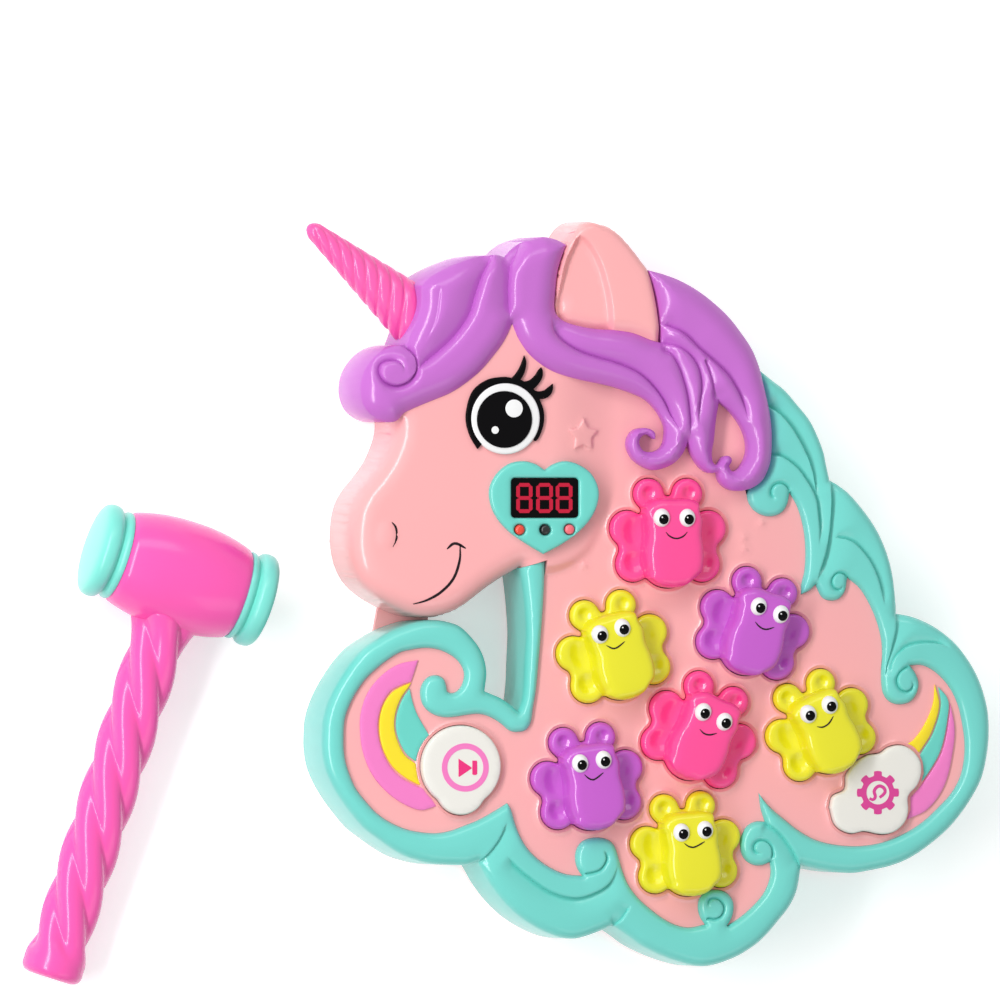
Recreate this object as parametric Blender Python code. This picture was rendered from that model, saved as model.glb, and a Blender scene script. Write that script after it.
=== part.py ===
"""Pounding game in the shape of a unicorn's head, with its mallet lying beside it.

The console lies on its flat back. Its front is four moulded shells side by side: the pink head and
deck, the aqua mane frame round them, the purple hair and the horn. Seven sprung bug caps stand in
holes of the deck, each over its own switch on the key board.
Metres, +Z up. The origin is on the flat back, in the middle of the console.
"""

import math

import bmesh
import bpy
import numpy as np
from mathutils import Matrix, Vector
from mathutils.geometry import delaunay_2d_cdt, interpolate_bezier

# Console, overall
console_width = 0.3104
console_length = 0.3357
gap = 0.0003
wall = 0.0025
overrun = 0.002
smallest = 1e-7

# Heights above the floor
cover_thickness = 0.003
cover_inset = 0.001
deck_height = 0.038
head_height = 0.044
frame_height = 0.042
hair_height = 0.050
ear_height = 0.047
deck_thickness = 0.0028
head_thickness = 0.0028
frame_thickness = 0.004
hair_thickness = 0.006

# Roundings of the shells
head_round = 0.009
frame_round = 0.0045
hair_swell = 0.006
hair_edge_rise = 0.0012
crease_depth = 0.0032
jaw_slope = 0.0025
ear_round = 0.003
ear_recess = 0.003

# Bug caps: a plate in the shape of a bug, its raised body, the flange under the deck and the stem
bug_reach_share = 0.081
bug_reach = bug_reach_share * console_length
cap_clearance = 0.0004
cap_rise = 0.004
cap_edge = 0.0012
body_rise = 0.010
body_round = 0.0045
rim_width = 0.0036
rim_rise = 0.0009
tab_reach = 0.0013
tab_width = 0.005
tab_thickness = 0.0015
stem_radius = 0.005
bug_travel = 0.005
eye_rise = 0.0022
eye_half_width = 0.0036
eye_half_length = 0.0040
spring_radius = 0.0065
spring_wire = 0.0007
spring_coils = 3

# Two flat buttons
button_travel = 0.0025
play_radius = 0.0183
play_lobe_radius = 0.0112
play_lobe_drop = 0.0107
button_edge = 0.001

# Face
eye_share = 0.048
iris_share = 0.0381
eye_radius = eye_share * console_length
iris_radius = iris_share * console_length
eye_thickness = 0.002
iris_rise = 0.0008
lash_thickness = 0.0014
bezel_thickness = 0.0022
window_width = 0.0300
window_length = 0.0177
window_corner = 0.0030
window_thickness = 0.0012
module_depth = 0.010
led_radius = 0.0022
led_rise = 0.0008
led_length = 0.010
inlay_thickness = 0.0012

# Inside and underneath
board_height = 0.0164
board_thickness = 0.0016
switch_side = 0.0075
switch_height = 0.0042
post_radius = 0.003
speaker_radius = 0.018
speaker_depth = 0.0105
grille_slot_width = 0.0016
grille_slot_pitch = 0.0055
battery_radius = 0.00725
battery_length = 0.0500
battery_pitch = 0.0153
bay_length = 0.0571
bay_depth = 0.0155
bay_wall = 0.0020
bay_clearance = 0.0005
door_thickness = 0.0018
door_ledge = 0.0012
door_corner = 0.002
tab_radius = 0.0048
screw_head_radius = 0.0025
screw_head_height = 0.0008
screw_radius = 0.0013
screw_length = 0.0070
counterbore_radius = 0.0032
counterbore_depth = 0.0016
slot_length = 0.0095
slot_width = 0.0055
slider_length = 0.005
slider_travel = 0.002
slider_flange = 0.0015
slider_recess = 0.0008
speaker_ring = 0.0015
speaker_ring_height = 0.004
nub_radius = 0.00275
nub_length = 0.0010

# Horn, along its own axis
horn_length = 0.061
horn_base_radius = 0.013
horn_tip_radius = 0.0035
horn_axis_height = 0.024
horn_tongue = 0.006
horn_bands = 9
horn_threads = 4
horn_groove_share = 0.10

# Mallet
barrel_radius = 0.025
barrel_length = 0.058
barrel_waist = 0.022
striker_radius = 0.0215
striker_neck = 0.016
striker_length = 0.0145
mallet_length = 0.190
handle_radius = 0.0115
handle_lobe_share = 0.09
handle_lobes = 4
handle_lobe_pitch = 0.027
handle_sides = 16
handle_rings = 28
knob_radius = 0.0140
knob_length = 0.012
bore_depth = 0.002

grid_step = 0.0065
pieces = 4
chord_error = 0.0004
cap_sides = 22

# The layout is drawn on a sheet in thousandths of its sides, x to the right and y down.
left_share = 323
right_share = 992
top_share = 221
bottom_share = 967

hair_free_left_shares = [
    [(564, 245), (557, 241), (548, 238), (541, 237), (532, 239), (520, 243), (511, 249)],
    [(503, 257), (495, 255), (482, 256), (470, 258), (458, 262), (446, 267), (434, 273), (424, 280)],
    [(419, 287), (419, 304), (415, 318), (409, 332)],
    [(404, 345), (393, 346), (381, 350), (370, 359), (361, 373), (358, 387), (359, 399), (364, 410),
     (373, 418), (384, 422)],
]
hair_face_shares = [
    [(394, 421), (402, 413), (410, 409), (424, 403), (439, 397), (450, 392), (465, 382), (479, 370),
     (491, 356), (500, 344), (506, 333)],
    [(510, 323), (512, 329), (517, 340), (526, 353), (537, 363), (550, 371), (564, 376), (580, 380),
     (600, 384), (616, 388), (631, 393), (644, 399), (653, 407), (660, 417), (664, 427), (664, 437),
     (662, 445), (657, 450), (650, 452), (642, 451), (638, 446), (637, 441), (640, 436), (645, 434),
     (649, 436)],
    [(653, 439), (653, 433), (648, 429), (641, 428), (633, 430), (628, 436), (626, 444), (628, 452),
     (633, 460), (641, 466), (651, 470), (662, 468), (672, 463), (679, 456), (683, 449)],
    [(686, 441), (690, 453), (695, 462), (701, 469), (708, 473)],
    [(716, 472), (719, 482), (727, 489), (736, 491), (744, 490)],
]
hair_mane_shares = [[(752, 487), (760, 481), (766, 470), (769, 459), (770, 438), (769, 421),
                     (766, 403), (761, 382)]]
hair_free_right_shares = [[(757, 366), (750, 349), (738, 331), (726, 316), (711, 302), (695, 290),
                           (677, 280), (661, 274)]]
hair_ear_shares = [
    [(646, 270), (653, 291), (657, 313)],
    [(660, 343), (649, 340), (631, 333), (613, 330), (595, 329), (577, 326), (562, 321), (554, 314),
     (552, 305), (553, 291), (555, 273), (559, 258)],
]
hair_window_shares = [
    [(717, 401), (729, 411), (739, 424), (745, 438), (746, 452), (742, 463), (736, 470), (730, 471)],
    [(727, 466), (730, 460), (727, 456), (722, 457), (719, 461), (715, 465), (711, 462), (710, 452),
     (712, 440), (714, 420)],
]
hair_crease_shares = [
    [(501, 262), (490, 268), (480, 282), (472, 300), (464, 316), (452, 332), (438, 346), (424, 357)],
    [(510, 321), (507, 305), (507, 282), (510, 266), (516, 254)],
    [(552, 318), (558, 332), (568, 342), (582, 350), (600, 357), (616, 362), (632, 368), (648, 377),
     (660, 387), (670, 400), (677, 414), (682, 428), (684, 438)],
    [(662, 347), (674, 359), (681, 374), (685, 390), (688, 405), (690, 422), (692, 440)],
    [(660, 326), (675, 328), (689, 337), (701, 348), (713, 362), (727, 377), (738, 392), (745, 408)],
    [(404, 349), (410, 360), (406, 374), (394, 383), (382, 381), (374, 372), (379, 362), (390, 361)],
]
head_free_shares = [[(394, 421), (395, 432), (391, 443), (385, 459), (378, 470), (371, 479),
                     (362, 489), (356, 498), (352, 508), (350, 520), (349, 532), (349, 545),
                     (351, 558), (355, 571), (361, 582), (371, 592), (382, 600), (397, 608)]]
muzzle_foot_shares = [(410, 614), (420, 617), (430, 618), (440, 617)]
chin_shares = [(450, 614), (460, 610), (470, 603), (482, 593), (490, 587), (500, 580), (510, 574)]
jaw_corner_shares = [(521, 568)]
jaw_line_shares = [(548, 567), (566, 562), (582, 551), (592, 537), (598, 520), (604, 500), (611, 470),
                   (614, 430), (613, 396)]
jaw_under_hair_shares = [(622, 376), (655, 372), (702, 375)]
border_shares = [
    [(546, 560), (545, 590), (543, 623), (540, 659), (537, 691), (534, 709), (532, 722), (527, 730),
     (520, 732), (511, 731), (501, 723), (491, 717), (480, 714), (468, 715), (455, 717), (443, 717),
     (432, 713), (424, 705), (421, 693), (423, 684), (429, 677), (437, 675), (444, 678), (447, 684)],
    [(448, 691), (452, 693), (458, 691), (463, 684), (465, 675), (463, 667), (457, 659), (448, 653),
     (437, 649), (425, 648), (411, 650), (400, 653), (386, 662), (375, 671), (366, 680), (357, 693),
     (350, 707), (346, 720), (345, 741), (346, 757), (350, 772), (357, 788), (366, 800), (378, 813),
     (393, 823), (411, 830), (434, 833), (450, 831), (464, 826), (479, 820), (497, 810)],
    [(508, 803), (512, 809), (516, 823), (521, 836), (529, 849), (540, 860), (552, 868), (566, 874)],
    [(583, 876), (578, 868), (576, 858), (578, 848), (584, 841), (593, 838), (603, 838), (611, 841),
     (616, 847), (620, 859), (624, 872), (630, 886), (640, 899), (651, 909), (663, 918), (676, 925),
     (690, 928)],
    [(706, 925), (701, 917), (699, 907), (701, 898), (707, 892), (714, 890), (723, 891), (731, 896),
     (735, 904), (734, 916)],
    [(729, 926), (740, 919), (751, 910), (763, 897), (769, 886), (772, 874)],
    [(771, 863), (764, 866), (756, 866), (748, 862), (743, 855), (741, 845), (743, 835), (749, 826),
     (757, 822)],
    [(766, 822), (762, 809)],
    [(760, 793), (764, 799), (773, 809), (786, 820), (800, 831), (816, 840), (834, 845), (856, 847),
     (877, 845), (894, 840), (911, 832), (926, 822), (940, 809), (953, 795), (962, 779), (966, 763),
     (967, 745), (965, 727), (960, 705), (951, 687), (938, 673), (925, 666)],
    [(912, 666), (918, 674), (921, 684), (919, 694), (913, 702), (904, 705), (895, 704), (888, 699),
     (884, 690), (883, 672), (884, 655), (883, 639), (878, 620), (870, 602), (861, 588)],
    [(849, 578), (847, 591), (841, 599), (833, 601), (824, 598)],
    [(817, 585), (811, 591)],
    [(802, 595), (803, 584), (806, 571), (807, 554), (806, 536), (803, 520), (798, 505)],
    [(791, 493), (789, 504), (784, 512), (776, 516), (766, 516), (756, 511), (750, 503), (748, 495)],
]
frame_outer_shares = [
    [(761, 369), (773, 379), (787, 390), (800, 405), (812, 420), (820, 436), (826, 452), (829, 466)],
    [(832, 480), (841, 485), (851, 493), (865, 509), (877, 526), (886, 544), (893, 565), (897, 588)],
    [(899, 614), (911, 616), (923, 620), (937, 627), (951, 637), (963, 649), (976, 668), (985, 688),
     (991, 712), (992, 738), (989, 762), (984, 781), (974, 800), (963, 816), (950, 831), (931, 847),
     (911, 860), (893, 867), (875, 871), (856, 874), (838, 873), (820, 870)],
    [(803, 866), (801, 881), (798, 894), (791, 908), (780, 922), (769, 935), (757, 946), (735, 959),
     (706, 967), (679, 962), (646, 948), (626, 934)],
    [(614, 926), (600, 932), (582, 938), (571, 939), (556, 936), (538, 928), (521, 917), (506, 903),
     (492, 885), (484, 871)],
    [(479, 862), (468, 865), (452, 865), (435, 864), (421, 861), (406, 856), (392, 848), (378, 838),
     (365, 828), (353, 814), (342, 799), (333, 784), (326, 767), (323, 749), (323, 733), (324, 720),
     (328, 705), (334, 691), (342, 677), (353, 661), (365, 648), (378, 639), (392, 631)],
]
ring_top_shares = [(407, 625), (421, 621), (437, 620), (450, 622)]
ring_side_shares = [(461, 626), (472, 636), (481, 648), (486, 660), (488, 673), (487, 684)]
neck_side_shares = [
    [(486, 691), (493, 694), (502, 698), (511, 704)],
    [(519, 711), (523, 702), (525, 685), (526, 660), (527, 635), (526, 612), (524, 592)],
]
pink_under_hair_right_shares = [(745, 482), (750, 466), (751, 445), (745, 422), (730, 398),
                                (710, 380), (685, 362)]
pink_under_hair_left_shares = [(556, 320), (560, 345), (545, 356), (525, 335)]
pink_under_hair_brow_shares = [(505, 322), (498, 330), (486, 350), (466, 370), (446, 384),
                               (420, 395), (404, 402)]
ear_free_shares = [[(659, 343), (656, 313), (652, 291)],
                   [(646, 270), (638, 259), (629, 247), (620, 237), (611, 229), (600, 224),
                    (590, 221), (581, 223), (574, 229), (568, 238)],
                   [(564, 245), (560, 258), (556, 273), (554, 291), (553, 305)]]
ear_dish_shares = [(559, 312), (558, 292), (561, 268), (567, 250), (574, 241), (584, 244),
                   (594, 256), (602, 272), (608, 296), (610, 322), (585, 319)]


def ccw(points):
    """The points of a closed outline, counterclockwise seen from above."""
    xy = np.array(points)
    ahead = np.roll(xy, -1, axis=0)
    area = float((xy[:, 0] * ahead[:, 1] - ahead[:, 0] * xy[:, 1]).sum())
    return list(points) if area > 0 else list(points)[::-1]


def place(shares):
    """Layout shares as metres from the middle of the console."""
    width = console_width / (right_share - left_share)
    length = console_length / (bottom_share - top_share)
    middle_x_share = (left_share + right_share) / 2
    middle_y_share = (top_share + bottom_share) / 2
    return [((x - middle_x_share) * width, (middle_y_share - y) * length) for x, y in shares]


def smooth(points, pieces):
    """A curve through the points, in pieces chords from each point to the next."""
    knots = [Vector((x, y, 0)) for x, y in points]
    before = [2 * knots[0] - knots[1]] + knots[:-1]
    after = knots[1:] + [2 * knots[-1] - knots[-2]]
    ways = [(b - a).normalized() for a, b in zip(before, after)]
    curve = []
    for start, way, end, end_way in zip(knots, ways, knots[1:], ways[1:]):
        reach = (end - start).length / 3
        handles = start + way * reach, end - end_way * reach
        curve += interpolate_bezier(start, handles[0], handles[1], end, pieces + 1)[:-1]
    return [(p.x, p.y) for p in curve] + [(knots[-1].x, knots[-1].y)]


def simplified(line):
    """An open line without the points that it passes within the chord error."""
    if len(line) < 3:
        return list(line)
    away = reach_to(line[1:-1], [line[0], line[-1]])
    if away.max() < chord_error:
        return [line[0], line[-1]]
    far = int(away.argmax()) + 1
    return simplified(line[:far + 1])[:-1] + simplified(line[far:])


def chain(stretches, pieces, last=None):
    """Smooth stretches end to end, with a corner where each one starts, ending at the point last."""
    line = []
    ends = [stretch[0] for stretch in stretches[1:]] + ([last] if last else [])
    for index, stretch in enumerate(stretches):
        following = [ends[index]] if index < len(ends) else []
        run = place(stretch + following)
        part = simplified(smooth(run, pieces)) if len(run) > 1 else run
        line += part[:-1] if following else part
    return line


def reach_to(points, line, closed=False):
    """How far each point is from a polyline."""
    points = np.array(points, float).reshape(-1, 1, 2)
    starts = np.array(line, float)
    ends = np.roll(starts, -1, axis=0)
    if not closed:
        starts, ends = starts[:-1], ends[:-1]
    along = ends - starts
    lengths = np.maximum((along**2).sum(axis=1), smallest**2)
    share = np.clip(((points - starts) * along).sum(axis=2) / lengths, 0, 1)
    nearest = starts + share[..., None] * along
    return np.sqrt(((points - nearest) ** 2).sum(axis=2)).min(axis=1)


def inside(points, outline):
    """Which points lie inside a closed outline."""
    points = np.array(points, float).reshape(-1, 1, 2)
    starts = np.array(outline, float)
    ends = np.roll(starts, -1, axis=0)
    above = (starts[:, 1] > points[..., 1]) != (ends[:, 1] > points[..., 1])
    rise = ends[:, 1] - starts[:, 1]
    rise = np.where(abs(rise) < smallest**2, smallest**2, rise)
    cross = starts[:, 0] + (points[..., 1] - starts[:, 1]) * (ends[:, 0] - starts[:, 0]) / rise
    return (above & (points[..., 0] < cross)).sum(axis=1) % 2 == 1


def offset(outline, distance):
    """The outline moved outwards, or inwards by a negative distance, without what folds over."""
    outline = np.array(ccw(outline))
    edge = np.roll(outline, -1, axis=0) - outline
    edge /= np.maximum(np.linalg.norm(edge, axis=1), smallest)[:, None]
    both = edge + np.roll(edge, 1, axis=0)
    size = np.maximum(np.linalg.norm(both, axis=1), smallest)[:, None]
    out = np.stack([both[:, 1], -both[:, 0]], axis=1) / size
    moved = outline + out * distance / np.maximum(size / 2, 0.5)
    kept = reach_to(moved, outline, closed=True) > abs(distance) * 0.97
    return [tuple(point) for point in moved[kept]]


def thinned(outline, least):
    """The outline with points at least this far apart."""
    kept = [outline[0]]
    for point in outline[1:]:
        if math.dist(point, kept[-1]) >= least:
            kept.append(point)
    if math.dist(kept[0], kept[-1]) < least:
        kept.pop()
    return kept


def circle(middle, radius, sides):
    return oval(radius, radius, sides, middle)


def lobe_reach(lobes, angle):
    """How far a union of circles (x, y, radius) reaches from the origin, which lies inside it."""
    way = np.array([math.cos(angle), math.sin(angle)])
    reaches = []
    for x, y, radius in lobes:
        along = float(way @ (x, y))
        aside = x * x + y * y - along * along
        if aside < radius * radius and along > -radius:
            reaches.append(along + math.sqrt(radius * radius - aside))
    return max(reaches)


def lobed(lobes, sides):
    """The outline of a union of circles."""
    outline = []
    for i in range(sides):
        angle = math.tau * i / sides
        reach = lobe_reach(lobes, angle)
        outline.append((reach * math.cos(angle), reach * math.sin(angle)))
    return outline


def object_of(bm, name="shape"):
    bmesh.ops.recalc_face_normals(bm, faces=bm.faces)
    mesh = bpy.data.meshes.new(name)
    bm.to_mesh(mesh)
    bm.free()
    shape = bpy.data.objects.new(name, mesh)
    bpy.context.scene.collection.objects.link(shape)
    return shape


def prism(outline, low, high):
    """A solid with upright sides over an outline."""
    bm = bmesh.new()
    base = bm.faces.new([bm.verts.new((x, y, low)) for x, y in ccw(outline)])
    top = bmesh.ops.extrude_face_region(bm, geom=[base])
    raised = [v for v in top["geom"] if isinstance(v, bmesh.types.BMVert)]
    bmesh.ops.translate(bm, verts=raised, vec=(0, 0, high - low))
    return object_of(bm)


def spread(points, taken, least):
    """The points that lie at least this far from each point taken, and from each other."""
    kept = []
    for point in points:
        others = np.array(list(taken) + kept)
        if not len(others) or ((others - point) ** 2).sum(axis=1).min() > least**2:
            kept.append(tuple(point))
    return kept


def relief(outline, low, top, rows=(), lines=(), filled=False, spacing=grid_step):
    """A solid with upright sides over an outline, whose upper face is at the heights top(points).

    Rows of points follow the roundings, and lines are creases that edges of the face follow. A
    filled one has points all over its face."""
    outline = ccw(outline)
    points = list(outline)
    edges = [(i, (i + 1) % len(outline)) for i in range(len(outline))]
    for line in lines:
        start = len(points)
        points += line
        edges += [(start + i, start + i + 1) for i in range(len(line) - 1)]
    for row in rows:
        row = np.array(row)
        points += spread(row[inside(row, outline)], points, spacing / 6)
    low_corner, high_corner = np.array(outline).min(axis=0), np.array(outline).max(axis=0)
    grid = []
    for j, y in enumerate(np.arange(low_corner[1], high_corner[1], spacing)):
        for x in np.arange(low_corner[0] + spacing / 2 * (j % 2), high_corner[0], spacing):
            grid.append((x, y))
    grid = np.array(grid)
    if filled:
        points += spread(grid[inside(grid, outline)], points, spacing * 0.6)
    flat = [Vector(point) for point in points]
    flat, _, faces, *_ = delaunay_2d_cdt(flat, edges, [], 1, smallest, False)
    flat = np.array([tuple(point) for point in flat])
    faces = np.array([list(face) for face in faces])
    faces = faces[inside(flat[faces].mean(axis=1), outline)]
    bm = bmesh.new()
    verts = [bm.verts.new((x, y, float(z))) for (x, y), z in zip(flat, top(flat))]
    for face in faces:
        bm.faces.new([verts[i] for i in face])
    bmesh.ops.delete(bm, geom=[v for v in bm.verts if not v.link_faces], context="VERTS")
    rim = [edge for edge in bm.edges if edge.is_boundary]
    skirt = bmesh.ops.extrude_edge_only(bm, edges=rim)["geom"]
    for vert in skirt:
        if isinstance(vert, bmesh.types.BMVert):
            vert.co.z = low
    bmesh.ops.holes_fill(bm, edges=[edge for edge in bm.edges if edge.is_boundary])
    return object_of(bm)


def loft(rings):
    """A closed solid through rings of points, with a flat face at each end."""
    bm = bmesh.new()
    made = [[bm.verts.new(point) for point in ring] for ring in rings]
    for lower, upper in zip(made, made[1:]):
        for i in range(len(lower)):
            j = (i + 1) % len(lower)
            bm.faces.new((lower[i], lower[j], upper[j], upper[i]))
    bm.faces.new(made[0])
    bm.faces.new(made[-1])
    return object_of(bm)


def turned(profile, sides, middle=(0, 0)):
    """A solid of revolution about an upright axis, its profile given as (radius, z) from one end on."""
    return loft([[(x, y, z) for x, y in circle(middle, radius, sides)] for radius, z in profile])


def stacked(levels):
    """A solid through outlines of equal numbers of points, given as (outline, z) from the bottom up."""
    return loft([[(x, y, z) for x, y in outline] for outline, z in levels])


def inset(outline, distance):
    """The outline drawn in by a distance that is small beside its curves, point for point."""
    outline = np.array(ccw(outline))
    edge = np.roll(outline, -1, axis=0) - outline
    edge /= np.linalg.norm(edge, axis=1)[:, None]
    both = edge + np.roll(edge, 1, axis=0)
    size = np.linalg.norm(both, axis=1)[:, None]
    out = np.stack([both[:, 1], -both[:, 0]], axis=1) / size
    return [tuple(point) for point in outline - out * distance / np.maximum(size / 2, 0.6)]


def slab(outline, low, high, edge=0.0):
    """An upright plate whose upper edge is rounded."""
    levels = [(ccw(outline), low)]
    if edge:
        levels.append((ccw(outline), high - edge))
        levels.append((inset(outline, edge * 0.3), high - edge * 0.3))
        levels.append((inset(outline, edge), high))
    else:
        levels.append((ccw(outline), high))
    return stacked(levels)


def rounded(width, length, corner, steps=3, middle=(0, 0)):
    """A rectangle with rounded corners."""
    outline = []
    for quarter, (side_x, side_y) in enumerate(((1, 1), (-1, 1), (-1, -1), (1, -1))):
        x = middle[0] + side_x * (width / 2 - corner)
        y = middle[1] + side_y * (length / 2 - corner)
        for i in range(steps + 1):
            angle = math.pi / 2 * (quarter + i / steps)
            outline.append((x + corner * math.cos(angle), y + corner * math.sin(angle)))
    return outline


def oval(half_width, half_length, sides, middle=(0, 0)):
    return [
        (middle[0] + half_width * math.cos(math.tau * i / sides),
         middle[1] + half_length * math.sin(math.tau * i / sides))
        for i in range(sides)
    ]


def moved(outline, middle, turn=0, scale=1):
    """The outline scaled, turned and then moved so that its origin lies in a place."""
    cos, sin = scale * math.cos(turn), scale * math.sin(turn)
    return [(middle[0] + x * cos - y * sin, middle[1] + x * sin + y * cos) for x, y in outline]


def beside(line, distance):
    """An open line moved to its right-hand side."""
    line = np.array(line)
    edge = np.diff(line, axis=0)
    edge /= np.maximum(np.linalg.norm(edge, axis=1), smallest)[:, None]
    both = np.vstack([edge, edge[-1:]]) + np.vstack([edge[:1], edge])
    size = np.maximum(np.linalg.norm(both, axis=1), smallest)[:, None]
    out = np.stack([both[:, 1], -both[:, 0]], axis=1) / size
    return [tuple(point) for point in line + out * distance / np.maximum(size / 2, 0.5)]


def carve(solid, tool, operation="DIFFERENCE"):
    """The Boolean of a solid with another one, which is used up."""
    modifier = solid.modifiers.new(operation.title(), "BOOLEAN")
    modifier.operation = operation
    modifier.object = tool
    bpy.context.view_layer.update()
    graph = bpy.context.evaluated_depsgraph_get()
    mesh = bpy.data.meshes.new_from_object(solid.evaluated_get(graph))
    solid.modifiers.clear()
    solid.data = mesh
    bpy.data.objects.remove(tool)
    return solid


def fuse(solid, tool):
    return carve(solid, tool, "UNION")


def node(shape, name, material, place_at=None, turn=0, parent=None):
    """Names a finished solid, gives it its material and puts it in its place."""
    shape.name = name
    shape.data.name = name
    shape.data.materials.clear()
    shape.data.materials.append(material)
    shape.data.shade_smooth()
    shape.data.set_sharp_from_angle(angle=math.radians(35))
    if place_at:
        shape.location = (*place_at, 0) if len(place_at) == 2 else place_at
    shape.rotation_euler.z = turn
    shape.parent = parent
    return shape


def plastic(name, colour, roughness=0.3, metallic=0.0):
    material = bpy.data.materials.new(name)
    material.use_nodes = True
    shader = material.node_tree.nodes["Principled BSDF"]
    shader.inputs["Base Color"].default_value = (*colour, 1)
    shader.inputs["Roughness"].default_value = roughness
    shader.inputs["Metallic"].default_value = metallic
    return material


def fillet(depth, radius):
    """How far a rounded edge lies below the face, at this depth in from the edge."""
    inner = np.clip(radius - depth, 0, radius)
    return radius - np.sqrt(np.maximum(radius**2 - inner**2, 0))


def rows_in(outline, radius, steps):
    """Outlines inside a rounded edge, at equal turns of its arc."""
    rows = []
    for i in range(1, steps + 1):
        rows.append(offset(outline, -radius * (1 - math.cos(math.pi / 2 * i / steps))))
    return rows


for startup in list(bpy.data.objects):
    bpy.data.objects.remove(startup)

pink = plastic("pink_shell", (0.93, 0.46, 0.44))
aqua = plastic("aqua_shell", (0.16, 0.67, 0.60))
purple = plastic("purple_shell", (0.47, 0.12, 0.61))
hot_pink = plastic("hot_pink_plastic", (0.87, 0.08, 0.35))
bug_pink = plastic("bug_pink", (0.93, 0.06, 0.33))
bug_yellow = plastic("bug_yellow", (0.83, 0.79, 0.02))
bug_purple = plastic("bug_purple", (0.50, 0.08, 0.62))
off_white = plastic("off_white", (0.80, 0.79, 0.75))
black = plastic("black_plastic", (0.01, 0.01, 0.01))
board_green = plastic("board_green", (0.03, 0.20, 0.08), 0.5)
steel = plastic("steel", (0.6, 0.6, 0.6), 0.3, 1.0)
lens_red = plastic("lens_red", (0.75, 0.05, 0.03), 0.15)
smoke = plastic("smoked_window", (0.02, 0.005, 0.008), 0.1)

# Outlines of the four shells
border = chain(border_shares, pieces)
neck_corner = place(jaw_corner_shares)
hair_face = chain(hair_face_shares, pieces, hair_mane_shares[0][0])
hair_side = chain(hair_mane_shares, pieces)
hair_free_left = chain(hair_free_left_shares, pieces, hair_face_shares[0][0])
hair_free_right = chain(hair_free_right_shares, pieces)
hair_ear = chain(hair_ear_shares, pieces)
hair_outline = hair_free_left[:-1] + hair_face[:-1] + hair_side + hair_free_right + hair_ear
hair_window = chain(hair_window_shares, pieces, hair_window_shares[0][0])[:-1]
creases = [chain([line], pieces) for line in hair_crease_shares]
head_free = chain(head_free_shares, pieces)
muzzle_foot = place(muzzle_foot_shares)
chin = place(chin_shares)
ear_right, ear_tip, ear_left = [chain([stretch], pieces) for stretch in ear_free_shares]
pink_outline = (head_free + muzzle_foot + chin + neck_corner + border
                + place(pink_under_hair_right_shares) + beside(ear_right, -gap) + ear_tip
                + beside(ear_left, -gap) + place(pink_under_hair_left_shares)
                + place(pink_under_hair_brow_shares))
jaw = place(jaw_line_shares + jaw_under_hair_shares)
head_outline = (head_free + muzzle_foot + chin + neck_corner + jaw + ear_right + ear_tip + ear_left
                + place(pink_under_hair_left_shares + pink_under_hair_brow_shares))
frame_border = beside(neck_corner + border, gap)
frame_side = [(x + gap, y - gap) for x, y in hair_side]
frame_outer = chain(frame_outer_shares, pieces)
ring_inner = place(ring_top_shares + ring_side_shares)
neck_side = chain(neck_side_shares, pieces)
frame_outline = frame_outer + ring_inner + neck_side + frame_border + frame_side
free_edge = head_free + muzzle_foot + chin

# Outlines of the bugs and the buttons
bug_lobe_shares = [(-0.333, 0.695, 0.261), (0.333, 0.695, 0.261), (-0.699, 0.118, 0.301),
                   (0.699, 0.118, 0.301), (-0.596, -0.478, 0.301), (0.596, -0.478, 0.301),
                   (0, -0.415, 0.463), (0, 0.135, 0.520)]
bug_notch_shares = [0.23, 0.77]
bug_body_shares = [(0, 0.625), (0.30, 0.58), (0.48, 0.42), (0.515, 0.22), (0.48, 0.02),
                   (0.53, -0.25), (0.48, -0.58), (0.29, -0.82), (0, -0.875)]
bug_eye_shares = [(-0.22, 0.29), (0.22, 0.29)]
bugs = [
    ("pink_bug_1", bug_pink, (666, 535), 0, 1.0),
    ("yellow_bug_1", bug_yellow, (611, 648.5), 15.5, 1.0),
    ("purple_bug_1", bug_purple, (752.5, 625.5), -17.5, 1.0),
    ("pink_bug_2", bug_pink, (698.5, 730), -24, 1.0),
    ("yellow_bug_2", bug_yellow, (816, 725), 23.5, 0.94),
    ("purple_bug_2", bug_purple, (586, 779), 8, 0.98),
    ("yellow_bug_3", bug_yellow, (683, 845), 5, 0.96),
]
bug_lobes = [(x * bug_reach, y * bug_reach, r * bug_reach) for x, y, r in bug_lobe_shares]
bug_tabs = [(lobe_reach(bug_lobes, math.pi * notch), math.pi * notch) for notch in bug_notch_shares]
bug_plan = lobed(bug_lobes, cap_sides)
half_body = smooth([(x * bug_reach, y * bug_reach) for x, y in bug_body_shares], 1)
body_plan = half_body + [(-x, y) for x, y in half_body[-2:0:-1]]
bug_places = [(place([spot])[0], math.radians(turn), size) for _, _, spot, turn, size in bugs]
bug_holes = [moved(offset(bug_plan, cap_clearance), *where) for where in bug_places]

play_share = (461, 766.1)
cloud_shares = [(831, 808), (834, 797), (846, 790), (848, 775), (857, 763), (869, 756), (881, 754),
                (890, 748), (902, 746), (913, 751), (921, 762), (922, 774), (918, 786), (909, 797),
                (909, 811), (906, 822), (896, 832), (883, 835), (865, 832), (851, 834), (837, 826)]
play_middle = place([play_share])[0]
play_plan = lobed([(0, 0, play_radius), (0, -play_lobe_drop, play_lobe_radius)], cap_sides)
cloud_middle = place([(870, 793)])[0]
cloud_plan = [(x - cloud_middle[0], y - cloud_middle[1]) for x, y in place(cloud_shares)]

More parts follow.
